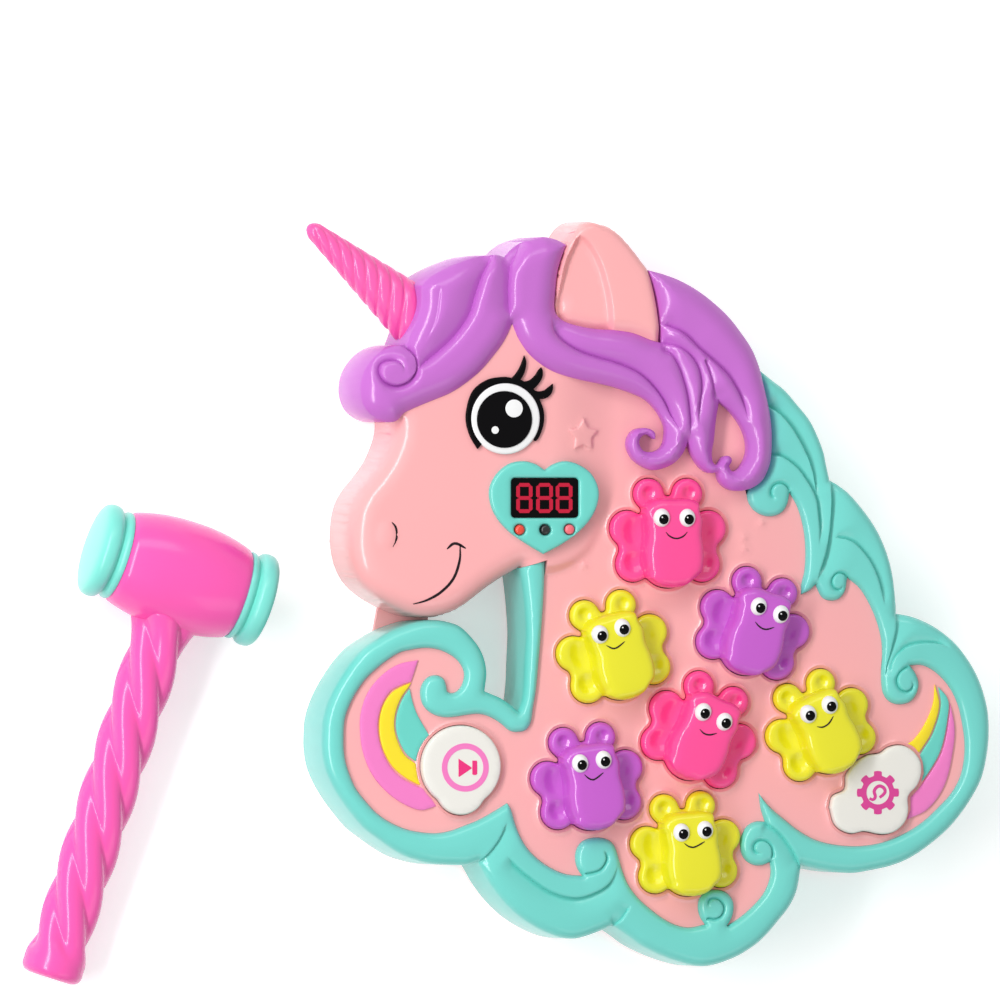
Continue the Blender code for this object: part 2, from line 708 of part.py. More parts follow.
# Heights that follow from the sizes
shell_foot = cover_thickness + gap
deck_under = deck_height - deck_thickness
tab_top = deck_under - gap
tab_low = tab_top - tab_thickness
press_room = tab_low - bug_travel - gap
board_top = board_height + board_thickness
switch_top = board_top + switch_height
cap_top = deck_height + cap_rise
body_top = cap_top + body_rise

# Front shell: head, neck, deck and ear in one moulding
ear_base = beside(place([(659, 343), (631, 333), (595, 329), (565, 321), (554, 310)]), 2 * gap)
ear_outline = ear_right + ear_tip + ear_left + ear_base[-1:0:-1]
ear_dish = place(ear_dish_shares)


def step(distance, width):
    """From 0 to 1 as a signed distance goes from -width to width."""
    t = np.clip(distance / width / 2 + 0.5, 0, 1)
    return t * t * (3 - 2 * t)


def signed(points, outline):
    """The distance to an outline, negative outside it."""
    return reach_to(points, outline, closed=True) * np.where(inside(points, outline), 1, -1)


def pink_top(points):
    in_head = inside(points, head_outline) | (reach_to(points, head_outline, closed=True) < gap)
    from_jaw = reach_to(points, jaw) * np.where(in_head, 1, -1)
    z = deck_height + (head_height - deck_height) * step(from_jaw, jaw_slope)
    z -= fillet(reach_to(points, free_edge), head_round)
    in_ear = signed(points, ear_outline)
    z += (ear_height - head_height) * step(in_ear - ear_round / 2, ear_round / 2)
    z -= np.where(in_ear > -gap, fillet(reach_to(points, ear_tip), ear_round), 0)
    z -= ear_recess * step(signed(points, ear_dish) - ear_round / 2, ear_round / 2)
    for hole, (_, _, size) in zip(bug_holes, bug_places):
        out = -signed(points, hole)
        z += rim_rise * np.clip(1 - out / rim_width, 0, 1)
    return z


def closed(outline):
    return list(outline) + [outline[0]]


halo_lines = []
for hole in bug_holes:
    halo_lines.append(closed(thinned(offset(hole, rim_width), bug_reach / 4)))
    halo_lines.append(closed(thinned(offset(hole, -rim_width), bug_reach / 5)))
jaw_lines = [beside(jaw, jaw_slope), beside(jaw, -jaw_slope)]
ear_lines = [closed(ear_dish), closed(offset(ear_dish, -ear_round)), ear_base,
             beside(ear_base, ear_round)]
head_rows = rows_in(pink_outline, head_round, 2)
head_rows = [[p for p in row if reach_to([p], free_edge)[0] < head_round * 1.1] for row in head_rows]
ear_rows = [[p for p in offset(pink_outline, -ear_round) if reach_to([p], ear_tip)[0] < ear_round * 1.1]]
front = relief(pink_outline, shell_foot, pink_top, head_rows + ear_rows,
               halo_lines + jaw_lines + ear_lines)
front_core = simplified(closed(offset(pink_outline, -wall)))[:-1]
front = carve(front, prism(front_core, shell_foot - overrun, deck_under))
head_core = simplified(closed(offset(head_outline, -head_round * 0.7)))[:-1]
front = carve(front, prism(head_core, deck_under - overrun, head_height - head_thickness))
for hole in bug_holes:
    front = carve(front, prism(hole, press_room, deck_height + overrun))
for plan, middle in ((play_plan, play_middle), (cloud_plan, cloud_middle)):
    hole = moved(offset(plan, cap_clearance), middle)
    front = carve(front, prism(hole, press_room, deck_height + overrun))
window_middle = place([(542, 498)])[0]
led_middles = place([(516.6, 529.7), (542, 529.7), (566.4, 529.4)])
window_plan = rounded(window_width, window_length, window_corner, middle=window_middle)
shell_cuts = [offset(window_plan, gap)] + [circle(p, led_radius + gap, 10) for p in led_middles]
for cut in shell_cuts:
    front = carve(front, prism(cut, head_height - head_thickness - overrun, head_height + overrun))
node(front, "front_shell", pink)

# Mane frame


def frame_top(points):
    z = frame_height - fillet(reach_to(points, frame_border), frame_round)
    z -= fillet(reach_to(points, frame_outer + ring_inner + neck_side), frame_round)
    return z


frame = relief(frame_outline, shell_foot, frame_top, rows_in(frame_outline, frame_round, 2))
frame_core = simplified(closed(offset(frame_outline, -wall)))[:-1]
frame = carve(frame, prism(frame_core, shell_foot - overrun, deck_under - frame_thickness))
node(frame, "mane_frame", aqua)


# Hair


def hair_top(points):
    edge = 1 - np.clip(reach_to(points, hair_outline, closed=True) / hair_swell, 0, 1)
    z = hair_height - (crease_depth + hair_edge_rise) * edge**2
    for line in creases:
        valley = 1 - np.clip(reach_to(points, line) / hair_swell, 0, 1)
        z = np.minimum(z, hair_height - crease_depth * valley**2)
    return z


hair_rows = [offset(hair_outline, -hair_swell * part) for part in (0.35, 0.8)]
for line in creases:
    hair_rows += [beside(line, hair_swell * 0.45), beside(line, -hair_swell * 0.45)]
hair = relief(hair_outline, shell_foot, hair_top, hair_rows, creases, filled=True)
hair = carve(hair, prism(hair_window, shell_foot - overrun, hair_height + overrun))
hair = carve(hair, prism(offset(pink_outline, gap), shell_foot - overrun, deck_height + gap))
over_head = offset(head_outline, 1.5 * jaw_slope)
hair = carve(hair, prism(over_head, deck_height, head_height + gap))
hair_core_shares = [
    [(432, 284), (470, 268), (502, 264), (545, 260), (543, 300), (540, 330), (520, 345), (500, 360),
     (480, 380), (440, 404), (410, 410), (392, 404), (372, 400), (370, 380), (388, 362), (412, 356),
     (424, 330), (428, 305)],
    [(668, 292), (700, 306), (724, 328), (744, 356), (750, 385), (735, 392), (700, 372), (674, 352)],
]
for core in hair_core_shares:
    core = prism(place(core), shell_foot - overrun, hair_height - hair_thickness)
    hair = carve(hair, core)


# Horn, lying along the way from its base to its tip, its tongue in a socket of the hair
horn_base, horn_tip = [Vector((*point, horn_axis_height)) for point in place([(418, 312), (317, 226)])]
horn_way = (horn_tip - horn_base).normalized()
horn_turn = horn_way.to_track_quat("Z", "Y").to_euler()
horn_sides = 16
horn_rings = 40
rings = []
for i in range(horn_rings + 1):
    along = horn_length * i / horn_rings
    taper = horn_base_radius + (horn_tip_radius - horn_base_radius) * i / horn_rings
    taper *= math.sqrt(1 - 0.75 * max(0, 1 + 4 * (i / horn_rings - 1)) ** 2)
    ring = []
    for x, y in circle((0, 0), 1, horn_sides):
        phase = math.tau * horn_bands * i / horn_rings - horn_threads * math.atan2(y, x)
        radius = taper * (1 - horn_groove_share * (1 - abs(math.sin(phase / 2))) ** 2)
        ring.append((x * radius, y * radius, along))
    rings.append(ring)
tongue = [[(x, y, z) for x, y in circle((0, 0), horn_base_radius, horn_sides)]
          for z in (-horn_tongue, -gap)]
horn = loft(tongue + rings)
socket = turned([(horn_base_radius + gap, -horn_tongue - gap), (horn_base_radius + gap, horn_length)], 24)
socket.location = horn_base
socket.rotation_euler = horn_turn
hair = carve(hair, socket)
node(hair, "hair_shell", purple)
node(horn, "horn", hot_pink, tuple(horn_base))
horn.rotation_euler = horn_turn

# Back cover, with the battery bay, the posts of the key board and the seat of the speaker
cover_outline = frame_outer + place([(404, 617)]) + head_free[::-1] + hair_free_left[::-1]
cover_outline += ear_tip[::-1] + hair_free_right[::-1]
cover_outline = thinned(offset(cover_outline, -cover_inset), 3 * wall)
cover = prism(cover_outline, 0, cover_thickness)
neck_opening = place(ring_top_shares[3:] + ring_side_shares) + neck_side
neck_opening += place([(521, 570)]) + chin[::-1]
cover = carve(cover, prism(offset(neck_opening, cover_inset), -overrun, cover_thickness + overrun))
bay_middle = place([(464, 500)])[0]
bay_width = 2 * battery_pitch + 2 * battery_radius + 2 * bay_clearance
bay_top = cover_thickness + bay_depth
bay_outside = rounded(bay_length + 2 * bay_wall, bay_width + 2 * bay_wall, door_corner, 2, bay_middle)
door_plan = rounded(bay_length + 2 * door_ledge, bay_width + 2 * door_ledge, door_corner, 2, bay_middle)
tab_middle = (bay_middle[0], bay_middle[1] - bay_width / 2 - bay_wall - screw_head_radius)
door_top = gap + door_thickness
cover = fuse(cover, prism(bay_outside, cover_thickness / 2, bay_top + bay_wall))
boss = circle(tab_middle, tab_radius, 12)
cover = fuse(cover, prism(boss, cover_thickness / 2, screw_length + cover_thickness))
bay_plan = rounded(bay_length, bay_width, door_corner / 2, 1, bay_middle)
cover = carve(cover, prism(bay_plan, door_top - overrun, bay_top))
cover = carve(cover, prism(offset(door_plan, gap), -overrun, door_top + gap))
tab_plan = circle(tab_middle, tab_radius, 12)
cover = carve(cover, prism(offset(tab_plan, gap), -overrun, door_top + gap))
cover = carve(cover, prism(circle(tab_middle, screw_radius + gap, 8), 0, screw_length + gap))
post_shares = [(615, 540), (755, 575), (850, 665), (880, 800), (700, 860), (460, 770), (640, 760)]
for middle in place(post_shares):
    post = prism(circle(middle, post_radius, 8), cover_thickness / 2, board_height - gap)
    cover = fuse(cover, post)
speaker_middle = place([(745, 690)])[0]
ring_radii = speaker_radius + gap + speaker_ring, speaker_radius + gap
ring_high = cover_thickness + speaker_ring_height
seat = prism(circle(speaker_middle, ring_radii[0], 24), cover_thickness / 2, ring_high)
seat = carve(seat, prism(circle(speaker_middle, ring_radii[1], 24), cover_thickness, ring_high + overrun))
cover = fuse(cover, seat)
slots = int((speaker_radius - grille_slot_pitch) / grille_slot_pitch)
for i in range(-slots, slots + 1):
    aside = i * grille_slot_pitch
    reach = math.sqrt((speaker_radius - grille_slot_pitch / 2) ** 2 - aside**2)
    middle = (speaker_middle[0], speaker_middle[1] + aside)
    slot = rounded(2 * reach, grille_slot_width, grille_slot_width * 0.45, 1, middle)
    cover = carve(cover, prism(slot, -overrun, cover_thickness + overrun))
screw_shares = [(380, 550), (440, 290), (735, 330), (945, 700), (830, 855), (690, 945), (560, 905),
                (350, 700)]
for middle in place(screw_shares):
    cover = carve(cover, prism(circle(middle, counterbore_radius, 8), -overrun, counterbore_depth))
switch_middle = place([(600, 455)])[0]
slot = rounded(slot_length, slot_width, gap, 1, switch_middle)
cover = carve(cover, prism(slot, -overrun, cover_thickness + overrun))
node(cover, "back_cover", pink)

slider = prism(rounded(slider_length, slot_width - 2 * gap, gap, 1), slider_recess, shell_foot + overrun)
slider_plate = rounded(slot_length + slider_flange, slot_width + 2 * slider_flange, gap, 1)
slider = fuse(slider, prism(slider_plate, shell_foot, shell_foot + slider_flange))
node(slider, "power_switch", black, switch_middle)

door = prism(door_plan, gap, door_top)
door = fuse(door, prism(tab_plan, gap, door_top))
head_room = screw_head_height + gap
door = carve(door, prism(circle(tab_middle, screw_head_radius + gap, 12), 0, gap + head_room))
door = carve(door, prism(circle(tab_middle, screw_radius + gap, 8), 0, door_top + overrun))
node(door, "battery_door", pink)
screw_face = gap * 0.8
screw = turned([(screw_head_radius, screw_face), (screw_head_radius, screw_face + screw_head_height),
                (screw_radius, screw_face + screw_head_height), (screw_radius, screw_length)], 8)
node(screw, "battery_door_screw", steel, tab_middle)

cell_start = bay_middle[0] - bay_length / 2 + bay_clearance
cell_height = door_top + gap + bay_clearance + battery_radius
for i in (-1, 0, 1):
    cell = turned([(battery_radius, 0), (battery_radius, battery_length - nub_length),
                   (nub_radius, battery_length - nub_length), (nub_radius, battery_length)], 12)
    node(cell, f"battery_cell_{i + 2}", steel,
         (cell_start, bay_middle[1] + i * battery_pitch, cell_height))
    cell.rotation_euler.y = math.pi / 2

speaker = turned([(speaker_radius, shell_foot), (speaker_radius, shell_foot + speaker_depth / 3),
                  (speaker_radius * 0.55, shell_foot + speaker_depth * 0.7),
                  (speaker_radius * 0.55, shell_foot + speaker_depth)], 20)
node(speaker, "speaker", black, speaker_middle)

# Key board, with a switch under each cap and button
board_shares = [(600, 520), (700, 515), (775, 560), (782, 605), (858, 642), (864, 712), (898, 742),
                (905, 790), (890, 815), (840, 815), (800, 797), (757, 770), (730, 790), (728, 868),
                (690, 880), (655, 880), (641, 868), (628, 825), (560, 822), (530, 794), (440, 790),
                (440, 745), (545, 742), (580, 650), (590, 560)]
board = prism(place(board_shares), board_height, board_top)
for middle in [where[0] for where in bug_places] + [play_middle, cloud_middle]:
    square = moved(rounded(switch_side, switch_side, gap, 1), middle)
    board = fuse(board, prism(square, board_top - board_thickness / 2, switch_top))
node(board, "key_board", board_green)

# Bug caps, their springs and their eyes
press_stem = switch_top + bug_travel + gap


def bug_top(points):
    z = cap_top - fillet(reach_to(points, bug_plan, closed=True), cap_edge)
    deep = signed(points, body_plan)
    return np.where(deep > 0, body_top - fillet(deep, body_round), z)


def tabbed(button, reaches):
    """A button with its stem and, under the deck, the tabs that keep it in its hole."""
    for reach, angle in reaches:
        out = reach + tab_reach - tab_width / 2
        tab = rounded(tab_width, tab_width, gap, 1)
        tab = moved(tab, (out * math.cos(angle), out * math.sin(angle)), angle)
        button = fuse(button, prism(tab, tab_low, tab_low + tab_thickness))
    return button


def spring_rings(radius, low, high, turns):
    """The wire of a coil spring as three-sided sections along a helix."""
    steps = turns * 6
    rings = []
    for i in range(steps + 1):
        angle = math.tau * turns * i / steps
        z = low + spring_wire + (high - low - 2 * spring_wire) * i / steps
        ring = []
        for out, up in ((1, 0), (-0.5, 0.87), (-0.5, -0.87)):
            reach = radius + out * spring_wire
            ring.append((reach * math.cos(angle), reach * math.sin(angle), z + up * spring_wire))
        rings.append(ring)
    return rings


for (name, colour, _, _, _), (middle, turn, size) in zip(bugs, bug_places):
    body_rows = [inset(body_plan, body_round * part) for part in (0.3, 1.0)]
    cap = relief(bug_plan, tab_low, bug_top, body_rows, [closed(body_plan)])
    cap = tabbed(cap, bug_tabs)
    cap.data.transform(Matrix.Diagonal((size, size, 1, 1)))
    stem = turned([(stem_radius, press_stem), (stem_radius, tab_low + tab_thickness / 2)], 8)
    cap = fuse(cap, stem)
    node(cap, name, colour, middle, turn)
    spring = loft(spring_rings(spring_radius, board_top + gap, tab_low - gap, spring_coils))
    node(spring, name.replace("bug", "spring"), steel, middle)
    for side, (x, y) in zip(("left", "right"), bug_eye_shares):
        eye = stacked([
            (oval(eye_half_width, eye_half_length, 8), 0),
            (oval(eye_half_width * 0.6, eye_half_length * 0.6, 8), eye_rise),
        ])
        at = moved([(x * bug_reach * size, y * bug_reach * size)], middle, turn)[0]
        node(eye, f"{name}_{side}_eye", off_white, (*at, body_top + gap), turn)

# Play button and settings button
button_stem = switch_top + button_travel + gap
for name, plan, middle, tabs in (
    ("play_button", play_plan, play_middle, [(play_radius, 0)]),
    ("settings_button", cloud_plan, cloud_middle, [(play_radius * 0.8, math.pi / 4)]),
):
    button = slab(plan, tab_low, cap_top, button_edge)
    button = tabbed(button, tabs)
    stem = turned([(stem_radius, button_stem), (stem_radius, tab_low + tab_thickness / 2)], 8)
    button = fuse(button, stem)
    node(button, name, off_white, middle)

# Face: eye, lashes and the heart with its display
face = head_height + gap
eye_middle, iris_middle = place([(502.4, 418.6), (501, 419.5)])
eye_white = turned([(eye_radius, face), (eye_radius, face + eye_thickness / 2),
                    (eye_radius - eye_thickness / 2, face + eye_thickness)], 28)
node(eye_white, "eye_white", off_white, eye_middle)
iris_low = face + eye_thickness + gap
iris = turned([(iris_radius, iris_low), (iris_radius - iris_rise, iris_low + iris_rise)], 24)
node(iris, "eye_iris", black, iris_middle)
lash_shares = [(475, 448), (467, 431), (465, 413), (470, 395), (481, 382), (496, 376), (510, 376),
               (521, 357), (519, 378), (525, 383), (539, 369), (533, 388), (536, 393), (549, 385),
               (539, 402), (542, 412), (541, 427), (534, 441), (520, 432), (490, 432)]
lashes = prism(place(lash_shares), face, face + lash_thickness)
eye_room = circle(eye_middle, eye_radius + gap, 28)
lashes = carve(lashes, prism(eye_room, face - overrun, face + lash_thickness + overrun))
node(lashes, "eyelashes", black)
heart_shares = [
    [(542, 470), (533, 464), (520, 461), (506, 464), (494, 474), (487, 488), (488, 504), (495, 519),
     (508, 533), (524, 544)],
    [(541, 554), (558, 545), (575, 533), (588, 519), (595, 504), (596, 489), (589, 474), (577, 465),
     (563, 461), (551, 464)],
]
heart = slab(chain(heart_shares, pieces, heart_shares[0][0])[:-1], face, face + bezel_thickness, button_edge)
for cut in shell_cuts:
    heart = carve(heart, prism(cut, face - overrun, face + bezel_thickness + overrun))
node(heart, "heart_bezel", aqua)
window = prism(window_plan, face, face + window_thickness)
node(window, "display_window", smoke)
module = prism(window_plan, head_height - module_depth, head_height)
node(module, "display_module", black)
led_top = face + bezel_thickness + led_rise
for i, middle in enumerate(led_middles):
    led = turned([(led_radius, led_top - led_length), (led_radius, led_top - led_radius / 2),
                  (led_radius / 2, led_top)], 10)
    node(led, f"led_{i + 1}", lens_red, middle)

# Rainbows, laid on the deck beside the two buttons
rainbow_left_shares = [(419, 660), (400, 664), (383, 675), (369, 692), (362, 712), (361, 730), (364, 752),
                       (373, 774), (388, 792), (405, 804), (422, 810), (434, 809), (443, 803),
                       (440, 766), (436, 738), (424, 725), (417, 712), (412, 690), (413, 672)]
rainbow_right_shares = [(940, 684), (948, 694), (953, 709), (957, 727), (955, 750), (946, 785), (929, 810),
                        (910, 821), (900, 800), (905, 765), (912, 742), (924, 727), (933, 706),
                        (936, 690)]
inlay_low = deck_height + gap
for name, shares, plan, middle in (
    ("rainbow_left", rainbow_left_shares, play_plan, play_middle),
    ("rainbow_right", rainbow_right_shares, cloud_plan, cloud_middle),
):
    inlay = prism(place(shares), inlay_low, inlay_low + inlay_thickness)
    room = moved(offset(plan, 2 * cap_clearance), middle)
    room = prism(room, inlay_low - overrun, inlay_low + inlay_thickness + overrun)
    node(carve(inlay, room), name, bug_yellow)

# Mallet, lying on its barrel and its knob
mallet_middle, knob_middle = place([(187, 575), (68, 965)])
mallet_turn = math.atan2(knob_middle[0] - mallet_middle[0], mallet_middle[1] - knob_middle[1])
knob_reach = mallet_length - knob_length / 2
mallet_lean = math.asin((barrel_radius - knob_radius) / knob_reach)
mallet = bpy.data.objects.new("mallet_axis", None)
bpy.context.scene.collection.objects.link(mallet)
mallet.location = (*mallet_middle, barrel_radius)
mallet.rotation_euler = (mallet_lean, 0, mallet_turn)


def along_x(profile, sides):
    """A solid of revolution about X."""
    return loft([
        [(x, radius * math.cos(math.tau * i / sides), radius * math.sin(math.tau * i / sides))
         for i in range(sides)]
        for radius, x in profile
    ])


def handle_ring(radius, y, lobe=0.0):
    ring = []
    for i in range(handle_sides):
        angle = math.tau * i / handle_sides
        reach = radius * (1 + lobe * math.cos(handle_lobes * angle - math.tau * y / handle_lobe_pitch))
        ring.append((reach * math.cos(angle), y, reach * math.sin(angle)))
    return ring


barrel_shares = [(0.84, -0.5), (0.95, -0.4), (1, -0.2), (1, 0.2), (0.95, 0.4), (0.84, 0.5)]
barrel_profile = [(r * barrel_radius, x * barrel_length) for r, x in barrel_shares]
handle_length = mallet_length - knob_length
handle = [handle_ring(handle_radius, -barrel_waist * 0.6)]
for i in range(handle_rings):
    share = i / (handle_rings - 1)
    grip = -barrel_waist - (handle_length - barrel_waist - knob_length / 3) * share
    handle.append(handle_ring(handle_radius, grip, handle_lobe_share))
handle.append(handle_ring(knob_radius, -handle_length - knob_length / 6))
handle.append(handle_ring(knob_radius, -mallet_length + knob_length / 4))
handle.append(handle_ring(knob_radius * 0.8, -mallet_length))
for name, side in (("mallet_upper_half", 1), ("mallet_lower_half", -1)):
    half = fuse(along_x(barrel_profile, 20), loft(handle))
    room = [(-mallet_length, -2 * mallet_length), (mallet_length, -2 * mallet_length),
            (mallet_length, mallet_length), (-mallet_length, mallet_length)]
    ends = sorted((-side * gap / 2 + side * gap, -side * mallet_length))
    half = carve(half, prism(room, *ends))
    node(half, name, hot_pink, (0, 0, 0), 0, mallet)
for name, side in (("left_striker", -1), ("right_striker", 1)):
    start = barrel_length / 2 + gap
    profile = [(striker_neck, start), (striker_neck, start + striker_length * 0.3),
               (striker_radius * 0.9, start + striker_length * 0.38),
               (striker_radius, start + striker_length * 0.5),
               (striker_radius, start + striker_length * 0.88),
               (striker_radius * 0.93, start + striker_length)]
    profile = [(radius, side * x) for radius, x in profile]
    node(along_x(profile, 20), name, aqua, (0, 0, 0), 0, mallet)
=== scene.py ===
"""The pounding game as it looks: a unicorn's head in glossy moulded plastic, with its mallet beside it."""

import math

import bmesh
import bpy
import numpy as np
from mathutils import Matrix, Vector
from mathutils.geometry import delaunay_2d_cdt, interpolate_bezier
from mathutils.kdtree import KDTree


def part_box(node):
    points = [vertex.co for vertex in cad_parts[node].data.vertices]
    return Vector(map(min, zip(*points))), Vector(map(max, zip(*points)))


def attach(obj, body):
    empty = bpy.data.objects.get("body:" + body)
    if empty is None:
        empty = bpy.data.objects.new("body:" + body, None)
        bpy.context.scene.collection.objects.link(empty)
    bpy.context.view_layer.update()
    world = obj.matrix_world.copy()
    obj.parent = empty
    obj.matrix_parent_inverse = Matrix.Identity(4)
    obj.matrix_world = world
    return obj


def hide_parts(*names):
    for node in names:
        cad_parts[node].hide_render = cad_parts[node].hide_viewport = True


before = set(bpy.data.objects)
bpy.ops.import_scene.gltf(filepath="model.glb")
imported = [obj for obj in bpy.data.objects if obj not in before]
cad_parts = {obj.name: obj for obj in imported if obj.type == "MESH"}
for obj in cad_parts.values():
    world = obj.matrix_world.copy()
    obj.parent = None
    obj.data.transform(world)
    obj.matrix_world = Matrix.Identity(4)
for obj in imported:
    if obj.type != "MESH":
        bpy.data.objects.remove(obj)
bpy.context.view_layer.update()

# Sheet and camera. The console lies on its back and is seen from above through a long lens that
# leans to its left, so its left walls show. A place on it is given as it stands on that picture,
# in pixels, at a height over the floor.
tilt = math.radians(14)
lens_mm = 1300
sensor_mm = 36
picture_pixels = 1000
ear_top_pixel, tail_bottom_pixel = 221, 967
ring_left_pixel, tail_right_pixel = 323, 992
face_level = 0.040
console_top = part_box("front_shell")[1].y
console_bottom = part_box("mane_frame")[0].y
pixel = (console_top - console_bottom) / (tail_bottom_pixel - ear_top_pixel)
middle_pixels = (ring_left_pixel + tail_right_pixel) / 2, (ear_top_pixel + tail_bottom_pixel) / 2


def seen(points, height=face_level):
    """Places on the console, in metres, from where they stand on the picture."""
    aside = (height - face_level) * math.tan(tilt)
    return [((x - middle_pixels[0]) * pixel / math.cos(tilt) - aside, (middle_pixels[1] - y) * pixel)
            for x, y in points]


camera = bpy.data.objects.new("camera", bpy.data.cameras.new("camera"))
bpy.context.scene.collection.objects.link(camera)
bpy.context.scene.camera = camera
camera.data.lens = lens_mm
camera.data.sensor_width = sensor_mm
camera_reach = picture_pixels * pixel * lens_mm / sensor_mm
picture_middle = Vector((*seen([(picture_pixels / 2, picture_pixels / 2)])[0], face_level))
lean = Vector((-math.sin(tilt), 0, math.cos(tilt)))
camera.location = picture_middle + camera_reach * lean
camera.rotation_euler = (0, -tilt, 0)
camera.data.clip_end = 4 * camera_reach

# Front shell: head, neck and deck in one glossy pink moulding, with the ear. Its free edge is well
# rounded, the head slopes down to the deck at the jaw, and a raised bead runs round each hole.
deck_level = 0.038
head_level = 0.044
ear_level = 0.047
shell_foot = 0.0033
shell_wall = 0.0022
deck_under = 0.0352
shell_step = 0.0018
shell_depths = (0.0006, 0.0013, 0.0024, 0.0042)
muzzle_round = 0.0105
muzzle_depths = (0.0062, 0.0085)
jaw_slope_low = 0.0028
jaw_slope_high = 0.016
jaw_ease_rate = 2.2
ear_round = 0.0042
ear_lead = 0.001
ear_dish_slope = 0.0013
ear_ramp = 0.008
ear_dish_depth = 0.0038
lip_away = 0.0013
lip_width = 0.0008
lip_rise = 0.0008
lip_depths = (0.0006, 0.0013, 0.0020, 0.0028)
cap_clearance = 0.0004
star_rise = 0.0012
star_waist, small_star_waist = 0.56, 0.5
star_slope, small_star_slope = 0.0006, 0.0005
nostril_half_width, nostril_half_length, nostril_rise = 0.0046, 0.0063, 0.0011
shell_pink = "F7ADAE"


def ccw(points):
    """The points of a closed outline, counterclockwise seen from above."""
    xy = np.array(points)
    ahead = np.roll(xy, -1, axis=0)
    area = float((xy[:, 0] * ahead[:, 1] - ahead[:, 0] * xy[:, 1]).sum())
    return list(points) if area > 0 else list(points)[::-1]


def smooth(points, pieces=10):
    """A curve through the points."""
    knots = [Vector((x, y, 0)) for x, y in points]
    before = [2 * knots[0] - knots[1]] + knots[:-1]
    after = knots[1:] + [2 * knots[-1] - knots[-2]]
    ways = [(b - a).normalized() for a, b in zip(before, after)]
    curve = []
    for start, way, end, end_way in zip(knots, ways, knots[1:], ways[1:]):
        reach = (end - start).length / 3
        handles = start + way * reach, end - end_way * reach
        curve += interpolate_bezier(start, handles[0], handles[1], end, pieces + 1)[:-1]
    return [(p.x, p.y) for p in curve] + [(knots[-1].x, knots[-1].y)]


def evenly(line, step):
    """The open line again, its points a step apart along it."""
    line = np.array(line)
    along = np.concatenate([[0], np.cumsum(np.linalg.norm(np.diff(line, axis=0), axis=1))])
    marks = np.linspace(0, along[-1], max(2, round(along[-1] / step) + 1))
    return list(zip(np.interp(marks, along, line[:, 0]), np.interp(marks, along, line[:, 1])))


def drawn(stretches, step, last=None, height=face_level):
    """Smooth stretches end to end, with a corner where each one starts, ending at the point last."""
    line = []
    ends = [stretch[0] for stretch in stretches[1:]] + ([last] if last else [])
    for index, stretch in enumerate(stretches):
        following = [ends[index]] if index < len(ends) else []
        part = evenly(smooth(seen(stretch + following, height)), step)
        line += part[:-1] if following else part
    return line


def calmed(line, passes):
    """An open line with its small waves averaged out."""
    line = np.array(line)
    for _ in range(passes):
        line[1:-1] = (line[:-2] + 2 * line[1:-1] + line[2:]) / 4
    return [tuple(point) for point in line]


def reach_to(points, line, loop=True):
    """How far each point is from a finely drawn line, and which of its points is the nearest."""
    points, line = np.array(points, float), np.array(line, float)
    tree = KDTree(len(line))
    for i, (x, y) in enumerate(line):
        tree.insert((x, y, 0), i)
    tree.balance()
    near = np.array([tree.find((x, y, 0))[1] for x, y in points])
    best = np.full(len(points), np.inf)
    for side in (-1, 0):
        start = near + side if loop else np.clip(near + side, 0, len(line) - 2)
        a = line[start % len(line)]
        along = line[(start + 1) % len(line)] - a
        share = ((points - a) * along).sum(1) / np.maximum((along**2).sum(1), 1e-16)
        best = np.minimum(best, np.linalg.norm(points - a - along * np.clip(share, 0, 1)[:, None], axis=1))
    return best, near


def inside(points, outline):
    """Which points lie inside a closed outline."""
    points, starts = np.array(points, float), np.array(outline, float)
    ends = np.roll(starts, -1, axis=0)
    rise = np.where(starts[:, 1] == ends[:, 1], 1, ends[:, 1] - starts[:, 1])
    found = []
    for part in np.array_split(points, len(points) // 2000 + 1):
        above = (starts[:, 1] > part[:, 1:]) != (ends[:, 1] > part[:, 1:])
        cross = starts[:, 0] + (part[:, 1:] - starts[:, 1]) * (ends[:, 0] - starts[:, 0]) / rise
        found.append((above & (part[:, :1] < cross)).sum(axis=1) % 2 == 1)
    return np.concatenate(found)


def depth_in(points, outline):
    """How far in from a closed outline each point lies, negative outside it."""
    return reach_to(points, outline)[0] * np.where(inside(points, outline), 1, -1)


def unit(ways):
    """The same ways, each of length 1."""
    return ways / np.maximum(np.linalg.norm(ways, axis=1), 1e-9)[:, None]


def to_right(ways):
    """Ways of length 1 that point to the right of these."""
    return unit(np.stack([ways[:, 1], -ways[:, 0]], axis=1))


def offset(outline, distance):
    """The outline moved outwards, or inwards by a negative distance, without what folds over."""
    outline = np.array(ccw(outline))
    edge = unit(np.roll(outline, -1, axis=0) - outline)
    both = edge + np.roll(edge, 1, axis=0)
    turned = np.maximum(np.linalg.norm(both, axis=1) / 2, 0.5)[:, None]
    moved = outline + to_right(both) * distance / turned
    return [tuple(p) for p in moved[reach_to(moved, outline)[0] > abs(distance) * 0.97]]


def beside(line, distance):
    """An open line moved to its right-hand side."""
    line = np.array(line)
    edge = unit(np.diff(line, axis=0))
    both = np.vstack([edge, edge[-1:]]) + np.vstack([edge[:1], edge])
    return [tuple(p) for p in line + to_right(both) * distance]


def trimmed(rows, outline, *holes):
    """The rows of points, without what lies outside the outline or in a hole."""
    left = []
    for row in rows:
        keep = inside(row, outline)
        for hole in holes:
            keep &= ~inside(row, hole)
        left.append([point for point, kept in zip(row, keep) if kept])
    return left


